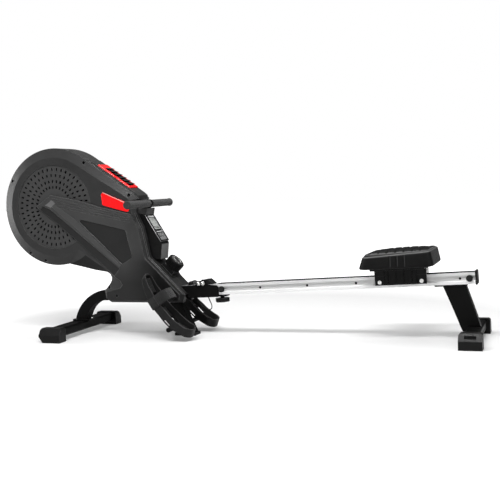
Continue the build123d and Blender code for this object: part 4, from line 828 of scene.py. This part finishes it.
# Vent: black louvre slats over the red frame's slots
VENT_FROM, VENT_EDGE = 0.107, 0.0003
VENT_SLOTS, VENT_PITCH = 6, 0.024
NECK_RADIUS = 0.265
VENT_TOP = NECK_RADIUS + 0.012
SLOT_HALF = 0.0078
BED_THICK, BED_HALF = 0.0006, 0.0275
SLAT_THICK, SLAT_HALF, SLAT_GAP, SLAT_RISE = 0.0016, 0.0272, 0.0008, 0.0046
SLAT_AHEAD, SLAT_BEHIND = 0.0088, 0.0080
louvre_look = moulded("louvre", grey(0.006), 0.5, wear=0.5, specular=0.2)


def neck_slab(name, start, end, low_start, low_end, thick, half):
    """A slat across the neck, from one place along it to another, with its height at each."""
    outline = [on_neck(start, -half, low_start), on_neck(start, half, low_start),
               on_neck(end, half, low_end), on_neck(end, -half, low_end)]
    plate(name, outline, on_neck.off, thick, "frame", "black_plastic", louvre_look, round_by=0.0005)


middles = [VENT_FROM + VENT_PITCH * (index + 0.5) for index in range(VENT_SLOTS)]
beds = [VENT_FROM + VENT_EDGE] + [middle + SLOT_HALF for middle in middles]
ends = [middle - SLOT_HALF for middle in middles] + [VENT_FROM + VENT_SLOTS * VENT_PITCH - VENT_EDGE]
for index, (start, end) in enumerate(zip(beds, ends)):
    neck_slab(f"vent_bed_{index}", start, end, VENT_TOP, VENT_TOP, BED_THICK, BED_HALF)
for index, middle in enumerate(middles):
    start, end, low = middle - SLAT_AHEAD, middle + SLAT_BEHIND, VENT_TOP + SLAT_GAP
    neck_slab(f"vent_slat_{index}", start, end, low, low + SLAT_RISE, SLAT_THICK, SLAT_HALF)


# Pedal straps: a woven loop over the instep with its tail laid back and closed on itself
STRAP_AT = 0.044
STRAP_HALF, STRAP_TOP, STRAP_UNDER = 0.0478, 0.0865, -0.0061
STRAP_TURN, STRAP_SHOULDER, STRAP_CROWN = 0.064, 0.081, 0.026
UNDER_PLACES = (-0.0470, -0.030, -0.010, 0.010, 0.030, 0.0470)
TAIL_GROW, TAIL_LOW, TAIL_POINTS = 0.0026, 0.030, 22


def strap_path(y_middle, grow, side_low):
    """The strap round a pedal, grown outwards, from one side over the top to the other."""
    half = STRAP_HALF + grow
    top = STRAP_TOP + grow
    arch = [(half, side_low + (STRAP_TURN - side_low) * step / 10) for step in range(10)]
    for step in range(19):
        t = step / 18
        first, second, third, last = (1 - t) ** 3, 3 * t * (1 - t) ** 2, 3 * t * t * (1 - t), t ** 3
        y = first * half + second * half + third * STRAP_CROWN
        q = first * STRAP_TURN + second * (STRAP_SHOULDER + grow) + (third + last) * top
        arch.append((y, q))
    arch += [(-y, q) for y, q in reversed(arch[:-1])]
    return [on_pedal(STRAP_AT, y_middle + y, q) for y, q in arch]


def pedal_strap(name, side):
    y_middle = side * PEDAL_Y
    body = f"{name}_foot"
    loop = strap_path(y_middle, 0.0, STRAP_UNDER + 0.0012)
    loop += [on_pedal(STRAP_AT, y_middle + y, STRAP_UNDER) for y in UNDER_PLACES]
    strap = band(f"{name}_strap_loop", loop, on_pedal.along, 0.024, 0.003, body, "webbing", closed=True)
    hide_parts(f"{name}_pedal_strap")
    whole = strap_path(y_middle, TAIL_GROW, TAIL_LOW)
    tail = whole[:TAIL_POINTS] if side > 0 else whole[-TAIL_POINTS:]
    band(f"{name}_strap_tail", tail, on_pedal.along, 0.0225, 0.0018, body, "webbing")


for label, side in SIDES:
    pedal_strap(label, side)


# Foam grips, with a lip at the outer end, and the woven pull strap, which the handle draws out; here it is
# laid at rest on no body
GRIP_RADIUS, GRIP_SWELL, GRIP_STEPS = 0.0165, 0.0003, 24
grip_profile = [(0.0062, 0.0146), (0.0064, 0.0158), (0.0074, 0.0164), (0.0100, 0.0165)]
for step in range(GRIP_STEPS + 1):
    radius = GRIP_RADIUS + GRIP_SWELL * math.sin(math.pi * step / GRIP_STEPS)
    grip_profile.append((0.012 + 0.189 * step / GRIP_STEPS, radius))
grip_profile += [(0.2026, 0.0166), (0.2034, 0.0176), (0.2048, 0.0180), (0.2080, 0.0180), (0.2096, 0.0174),
                 (0.2104, 0.0160), (0.2105, 0.0130), (0.2101, 0.0122), (0.2100, 0.0060)]
for label, side in SIDES:
    grip = turned(f"{label}_grip", grip_profile, HANDLE, ACROSS * side, "handle", "grip_foam")
    if side < 0:
        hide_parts("hand_grips")

PULL_FROM, PULL_LONG, PULL_STEPS = -0.497, 0.1054, 40
web = [Vector((PULL_FROM + PULL_LONG * step / PULL_STEPS, 0.0, HANDLE.z)) for step in range(PULL_STEPS + 1)]
pull = band("pull_webbing", web, ACROSS, 0.014, 0.0016, None, "webbing")
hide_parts("pull_strap")
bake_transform(pull)


# Rail: black running strip on its top face, with shallow ribs along it
STRIP_HALF, STRIP_STEPS = 0.0235, 36
STRIP_FROM, STRIP_TO, STRIP_PLACES = 0.062, 1.142, 40
STRIP_TOP, STRIP_LOW, STRIP_RIB = -0.0062, -0.00695, 0.0004
strip_points = []
for place in range(STRIP_PLACES + 1):
    u = STRIP_FROM + (STRIP_TO - STRIP_FROM) * place / STRIP_PLACES
    for step in range(STRIP_STEPS + 1):
        y = -STRIP_HALF + 2 * STRIP_HALF * step / STRIP_STEPS
        strip_points.append(on_rail(u, y, STRIP_TOP + STRIP_RIB * math.cos(2 * math.pi * step / 4)))
    strip_points += [on_rail(u, y, STRIP_LOW) for y in (STRIP_HALF, -STRIP_HALF)]
strip_faces = skin(STRIP_PLACES + 1, STRIP_STEPS + 3)
piece("rail_strip", strip_points, strip_faces, "rail", "rubber_black", smooth=False)


# Pedal soles and rims, in millimetres towards the heel and up from the sole
SOLE = [(-82, 31), (-67, 18), (-37, 8), (10, -1), (50, -4), (79, -1), (113, 4), (144, 9), (174, 16),
        (204, 32), (236, 48)]
SOLE_THICK, RIB_LIFT = 9.0, 0.7
RIB_RUNS = ((-66, 12), (74, 122), (168, 214))
RIB_ROWS = (-0.030, -0.018, -0.006, 0.006, 0.018, 0.030)
RIM_LINE = [(-76, 37), (-27, 31), (10, 32), (56, 31), (95, 37), (154, 50), (194, 65), (230, 86)]
PEDAL_TIP = -86
TIP_HALF, TIP_ROUND = 31, 30
TOE_HALF, TOE_END, HEEL_HALF = 46, 15, 50
WIDENS = (100, 125)
HEEL_END, HEEL_TOP, HEEL_ROUND, HEEL_LEAN = 230, 86, 44, 0.7586
WALL_MIDDLE = 3.0
RIM_STEPS, RIM_RADIUS = 60, 0.0016
rib_look = moulded("sole_rib", grey(0.030), 0.45, wear=0.4, specular=0.2)
# Pale rolled rim round each tray: a painted highlight
pedal_highlight_look = moulded("pedal_rim_highlight", grey(0.045), 0.42, wear=0.4, specular=0.22)


def line_height(line, p):
    """A line's height at a place along it, level beyond its ends."""
    for (p0, q0), (p1, q1) in zip(line, line[1:]):
        if p <= p1:
            return q0 + (q1 - q0) * (max(p, p0) - p0) / (p1 - p0)
    return line[-1][1]


def sole_ribs(name, side):
    """Long ribs that follow the sole."""
    for index, (start, end) in enumerate(RIB_RUNS):
        count = max(6, int((end - start) / 6))
        for row, y in enumerate(RIB_ROWS):
            path = []
            for step in range(count + 1):
                p = start + (end - start) * step / count
                q = line_height(SOLE, p) + SOLE_THICK + RIB_LIFT
                path.append(on_pedal(p / 1000, side * PEDAL_Y + y, q / 1000))
            band(f"{name}_sole_rib_{index}_{row}", path, ACROSS, 0.0030, 0.0024, f"{name}_foot",
                 "black_plastic", look=rib_look)


def rim_half(p, q):
    """Half the tray's width at its rim."""
    half = TIP_HALF + (TOE_HALF - TIP_HALF) * ease(p, PEDAL_TIP, TOE_END)
    half += (HEEL_HALF - TOE_HALF) * ease(p, *WIDENS)
    heel_from = HEEL_END + HEEL_LEAN * (HEEL_TOP - q) - HEEL_ROUND
    for past, radius in ((PEDAL_TIP + TIP_ROUND - p, TIP_ROUND), (p - heel_from, HEEL_ROUND)):
        if past > 0:
            half -= radius - math.sqrt(max(0.0, radius ** 2 - past ** 2))
    return half - WALL_MIDDLE


def pedal_rim_highlight(name, side):
    """A rolled edge round the tray, painted pale as a highlight."""
    start, end = PEDAL_TIP + WALL_MIDDLE, HEEL_END - WALL_MIDDLE
    line = []
    for step in range(RIM_STEPS + 1):
        p = start + (end - start) * 0.5 * (1 - math.cos(math.pi * step / RIM_STEPS))
        q = line_height(RIM_LINE, p)
        line.append((p, rim_half(p, q), q))
    loop = line + [(p, -y, q) for p, y, q in reversed(line)]
    path = [on_pedal(p / 1000, side * PEDAL_Y + y / 1000, q / 1000) for p, y, q in loop]
    bead(f"{name}_pedal_rim_highlight", path, RIM_RADIUS, f"{name}_foot", "black_plastic", pedal_highlight_look)


for make in (sole_ribs, pedal_rim_highlight):
    for label, side in SIDES:
        make(label, side)


# Side panels: pale facet at the arm's tip and the satin band down from it; accents: a painted highlight along
# the upper edge
def both_panels(name, points, y_low, thick, slot, look):
    for label, side in SIDES:
        outline = [beside_fan(x, z, side * y_low) for x, z in points]
        plate(f"{label}_{name}", outline, ACROSS * side, thick, "frame", slot, look, round_by=0.00025)


FACET = [(-39, 594), (-8, 615), (12, 602), (-13, 581)]
ARM_BAND = [(-6, 583), (10, 595), (106, 529), (330, 318), (322, 308)]
# Painted highlight: a pale red strip along each accent's upper edge
ACCENT_HIGHLIGHT = [(254, 640), (259, 641), (374, 590), (373, 586)]
ACCENT_HIGHLIGHT_RED = (1.0, 0.32, 0.30, 1.0)
facet_look = moulded("facet", grey(0.120), 0.36, 900.0, 0.00005, wear=0.3)
band_look = moulded("band", grey(0.047), 0.36, 900.0, 0.00006, wear=0.3)
accent_highlight_look = moulded("accent_highlight", ACCENT_HIGHLIGHT_RED, 0.2, 900.0, 0.00002, wear=0.2, specular=0.5, coat=0.4)
both_panels("panel_facet", FACET, 0.0790, 0.0008, "panel_black", facet_look)
both_panels("panel_band", ARM_BAND, 0.0800, 0.0003, "panel_black", band_look)
both_panels("accent_highlight", ACCENT_HIGHLIGHT, 0.0778, 0.0004, "red", accent_highlight_look)


# Cover edges beside the panels: painted shade as a dark strip down the slope and in the gap at its edge,
# between two painted highlight lines along that edge
RIBBON_SINK, RIBBON_LIFT = 0.0006, 0.0005


def ribbon(name, near, far, look):
    """A thin strip between two lines of points, lifted off the surface that they lie on."""
    points = []
    for i, (a, b) in enumerate(zip(near, far)):
        out = heading(near, i, False).cross(b - a).normalized()
        out *= math.copysign(1.0, out.y * a.y)
        points += [a + out * RIBBON_LIFT, b + out * RIBBON_LIFT, b - out * RIBBON_SINK, a - out * RIBBON_SINK]
    piece(name, points, skin(len(near), 4), "frame", "cover_grey", look, smooth=False)


# The covers' edge, as places behind the fan and heights: on the flat side and where the rim starts
COVER_SIDE, COVER_RIM = 0.074, 0.060
EDGE_UPPER = [((392, 545), (409, 545)), ((404, 512), (421, 515)), ((424, 477), (437, 480)),
              ((450, 345), (463, 350))]
EDGE_SLOPE = [((450, 345), (463, 350)), ((607, 187), (625, 186))]
EDGE_WHOLE = EDGE_UPPER + EDGE_SLOPE[1:]
# Dark strips are painted shade; the pale lines are painted highlights on the edge
slope_shade_look = moulded("flank", grey(0.006), 0.5, wear=0.3, specular=0.10)
highlight_line_look = moulded("edge_line", grey(0.085), 0.4, 900.0, 0.00004, wear=0.3)


def edge_line(edge, side, share):
    """A line along the covers' edge, at a share of the way from the flat side to the rim."""
    return [beside_fan(*flat, side * COVER_SIDE).lerp(beside_fan(*rim, side * COVER_RIM), share)
            for flat, rim in edge]


for label, side in SIDES:
    for name, edge, start, end, look in (
        ("slope_shade_strip", EDGE_SLOPE, 0.04, 0.60, slope_shade_look), ("edge_line", EDGE_WHOLE, 0.60, 0.68, highlight_line_look),
        ("edge_gap_shade", EDGE_WHOLE, 0.68, 0.90, slope_shade_look), ("rim_highlight_line", EDGE_WHOLE, 0.90, 0.97, highlight_line_look),
    ):
        ribbon(f"{label}_{name}", edge_line(edge, side, start), edge_line(edge, side, end), look)


# Console face: bezel, screen frame, screen marks, bars and the rings round the buttons
FACE_TOP = 0.003
FACE_HALF_LONG = 0.1377 / 2
BAR_HALF, BAR_THICK = 0.0285, 0.0008
bezel_look = moulded("bezel", grey(0.004), 0.4, 700.0, 0.00006, wear=0.5, specular=0.1)
mark_look = moulded("screen_mark", grey(0.03), 0.5, 900.0, 0.00002, wear=0.0)


def on_console(across, up, above=0.0):
    return CONSOLE + ACROSS * across + CONSOLE_UP * up + CONSOLE_OUT * (FACE_TOP + above)


def console_plate(name, x0, x1, y0, y1, thick, slot, look):
    outline = [on_console(x, y) for x, y in rectangle(x0, x1, y0, y1)]
    plate(name, outline, CONSOLE_OUT, thick, "frame", slot, look, round_by=0.00015)


def console_ring(name, outer, inner, thick, look=None):
    """A flat frame between two rectangles given as left, right, low and high."""
    points = []
    for out, into in zip(rectangle(*outer), rectangle(*inner)):
        points += [on_console(*out), on_console(*out, thick), on_console(*into, thick), on_console(*into)]
    soften(piece(name, points, skin(4, 4, True), "frame", "black_plastic", look, smooth=False), 0.0004)


bezel_inner = FACE_HALF_LONG - 0.006
console_ring("console_bezel", (-0.0378, 0.0378, -FACE_HALF_LONG, FACE_HALF_LONG),
             (-0.0330, 0.0330, -bezel_inner, bezel_inner), 0.0036, bezel_look)
console_ring("screen_frame", (-0.0285, 0.0285, -0.0100, 0.0540), (-0.0258, 0.0258, -0.0068, 0.0508), 0.0008)
# Bars of a zero: place across and up, and whether the bar lies flat
SEGMENTS = {"a": (0, 1, True), "b": (1, 0.5, False), "c": (1, -0.5, False), "d": (0, -1, True),
            "e": (-1, -0.5, False), "f": (-1, 0.5, False)}


def digit_zero(label, x, y, size):
    for key, (across, up, flat) in SEGMENTS.items():
        half_x = size * (0.36 if flat else 0.07)
        half_y = size * (0.07 if flat else 0.42)
        cx, cy = x + across * size * 0.5, y + up * size
        console_plate(f"mark_{label}_{key}", cx - half_x, cx + half_x, cy - half_y, cy + half_y, 0.00012,
                      "display", mark_look)


for index, x in enumerate((-0.015, -0.005, 0.007, 0.017)):
    digit_zero(f"time_{index}", x, 0.040, 0.0060)
for index, x in enumerate((-0.018, -0.010, 0.010, 0.018)):
    digit_zero(f"count_{index}", x, 0.022, 0.0042)
for index, y in enumerate((0.0055, -0.0015)):
    console_plate(f"screen_bar_{index}", -0.023, 0.023, y, y + 0.0032, 0.00015, "display", mark_look)
for name, low, high in (("upper_bar", -0.0165, -0.0105), ("lower_bar", -0.0255, -0.0215)):
    console_plate(name, -BAR_HALF, BAR_HALF, low, high, BAR_THICK, "black_plastic", bezel_look)
BUTTON_RING = [(0.0, 0.0078), (0.0006, 0.0078), (0.0009, 0.0082), (0.0009, 0.0094), (0.0, 0.0097)]
for index, x in enumerate((-0.013, 0.013)):
    turned(f"button_ring_{index}", BUTTON_RING, on_console(x, -0.038), CONSOLE_OUT, "frame", "cradle_grey")

CHIN_HALF = 0.036
chin = [Vector((-0.2951, y, 0.4045)) for y in (-CHIN_HALF, CHIN_HALF)]
chin += [Vector((-0.3031, y, 0.3395)) for y in (CHIN_HALF, -CHIN_HALF)]
chin_out = (chin[2] - chin[1]).cross(chin[1] - chin[0]).normalized()
# Painted light: the console's lower face made paler than the cradle grey
chin_light_look = moulded("chin", grey(0.115), 0.40, wear=0.3, specular=0.3)
chin = [p + chin_out * 0.0002 for p in chin]
plate("console_chin", chin, chin_out, 0.0008, "frame", "cradle_grey", chin_light_look)


# Resistance knob: dial ticks and ring
TICKS, TICK_SWEEP = 9, 270
TICK_OUT, TICK_HALF, TICK_THICK = 0.0290, 0.0008, 0.0002
DIAL_RING = [(0.0, 0.0165), (0.0008, 0.0168), (0.0011, 0.0176), (0.0008, 0.0184), (0.0, 0.0187)]
dial_top = KNOB_SEAT + KNOB_AXIS * 0.0618
dial_up = KNOB_AXIS.cross(ACROSS)
for index in range(TICKS):
    turn = math.radians(TICK_SWEEP * (index / (TICKS - 1) - 0.5))
    out = ACROSS * math.sin(turn) + dial_up * math.cos(turn)
    over = KNOB_AXIS.cross(out)
    inner = TICK_OUT - (0.010 if index % 4 == 0 else 0.007)
    outline = [dial_top + out * r + over * s for r, s in rectangle(inner, TICK_OUT, -TICK_HALF, TICK_HALF)]
    plate(f"dial_tick_{index}", outline, KNOB_AXIS, TICK_THICK, "knob", "console_silver", tick_look, 0.0)
turned("dial_ring", DIAL_RING, dial_top, KNOB_AXIS, "knob", "zinc")


# Beam: a small black cap on its top, and a pale plate ahead of the hinge
CAP_PROFILE = [(0.0, 0.0120), (0.006, 0.0120), (0.011, 0.0112), (0.015, 0.0090), (0.017, 0.0050),
               (0.0175, 0.0010)]
turned("beam_cap", CAP_PROFILE, on_rail(-0.073, 0.004, -0.009), on_rail.off, "frame", "black_plastic")
beam_plate = [on_rail(u, y, -0.0088) for u, y in rectangle(-0.111, -0.046, -0.021, 0.021)]
plate_look = brushed_metal("beam_plate", (0.42, 0.42, 0.43, 1.0), 0.34, (20.0, 700.0, 700.0), 0.00004)
plate("beam_plate", beam_plate, on_rail.off, 0.0014, "frame", "zinc", plate_look)


# Rear foot caps: painted shade as a black sheet on the floor of the pocket in each sloped face
CAP_MIDDLE = (1.0285, 0.200, 0.047)
CAP_LEAN = math.atan2(0.030, 0.020)
POCKET_DEEP, POCKET_FLOOR = 0.0039, 0.0012
POCKET_WIDE, POCKET_HIGH = 0.0216, 0.0062
for label, side in SIDES:
    out = Vector((0.0, side * math.sin(CAP_LEAN), math.cos(CAP_LEAN)))
    along = Vector((0.0, -side * math.cos(CAP_LEAN), math.sin(CAP_LEAN)))
    floor = Vector((CAP_MIDDLE[0], side * CAP_MIDDLE[1], CAP_MIDDLE[2])) - out * POCKET_DEEP
    outline = [floor + Vector((x, 0.0, 0.0)) + along * h
               for x, h in rectangle(-POCKET_WIDE, POCKET_WIDE, -POCKET_HIGH, POCKET_HIGH)]
    plate(f"{label}_cap_pocket_shade", outline, out, POCKET_FLOOR, "rail", "black_plastic", inside_look)


# Studio: pale floor, soft light from above and a pale surround
FLOOR_REACH, FLOOR_DROP = 26.0, 0.0005
# Each light's place, the place it points at, its size and its power
LIGHTS = (
    ("key", (0.3, -2.0, 3.2), (0.0, 0.0, 0.3), (3.2, 0.45), 150.0),
    ("overhead", (0.0, 0.0, 3.4), (0.0, 0.0, 0.0), (4.2, 3.0), 60.0),
    ("top", (-0.2, 1.3, 3.0), (-0.1, 0.0, 0.4), (3.0, 0.8), 18.0),
    ("rear", (3.6, -0.6, 1.5), (0.2, 0.0, 0.4), (1.2, 1.5), 22.0),
    ("nose", (-3.3, -0.15, 0.75), (-0.8, 0.0, 0.55), (0.6, 1.6), 58.0),
)


def surround(scene):
    """A dim pale surround, brighter overhead, that shows as plain white."""
    world = bpy.data.worlds.new("studio")
    world.use_nodes = True
    scene.world = world
    sky = Nodes(world.node_tree)
    height = sky.parts(sky.add("TexCoord").outputs["Generated"])[2]
    seen = sky.add("LightPath").outputs["Is Camera Ray"]
    strength = sky.add("Mix", In0=seen, In2=sky.ramp(height, 0.15, 1.0, 0.05, 0.30), In3=1.0).outputs[0]
    background = sky.add("Background", Color=grey(1.0), Strength=strength)
    sky.tree.links.new(background.outputs[0], sky.add("OutputWorld").inputs[0])


def studio_floor():
    s = Shade("floor")
    speckle = s.noise(30.0, 4.0)
    s.feed(Base_Color=s.mix(speckle, grey(0.60), grey(0.64)), Specular_IOR_Level=0.05)
    seen = s.add("LightPath").outputs["Is Camera Ray"]
    far = s.add("VectorMath", operation="LENGTH", In0=s.place).outputs["Value"]
    white = s.ramp(far, 1.3, 2.6, 0.14, 1.05)
    s.feed(Emission_Color=grey(1.0), Emission_Strength=s.product(seen, white))
    s.feed(Roughness=s.spread(speckle, 0.75, 0.85))
    mesh = bpy.data.meshes.new("floor")
    around = rectangle(-FLOOR_REACH, FLOOR_REACH, -FLOOR_REACH, FLOOR_REACH)
    mesh.from_pydata([(x, y, 0) for x, y in around], [], [[0, 1, 2, 3]])
    mesh.materials.append(s.material)
    floor = add_object("floor", mesh)
    floor.location.z = -FLOOR_DROP


def studio():
    scene = bpy.context.scene
    scene.view_settings.view_transform = "Standard"
    surround(scene)
    studio_floor()
    for name, place, aim, size, power in LIGHTS:
        data = bpy.data.lights.new(name, "AREA")
        data.shape = "RECTANGLE"
        data.size, data.size_y = size
        data.energy = power
        lamp = add_object(name, data)
        lamp.location = place
        lamp.rotation_euler = (Vector(aim) - Vector(place)).to_track_quat("-Z", "Y").to_euler()


studio()
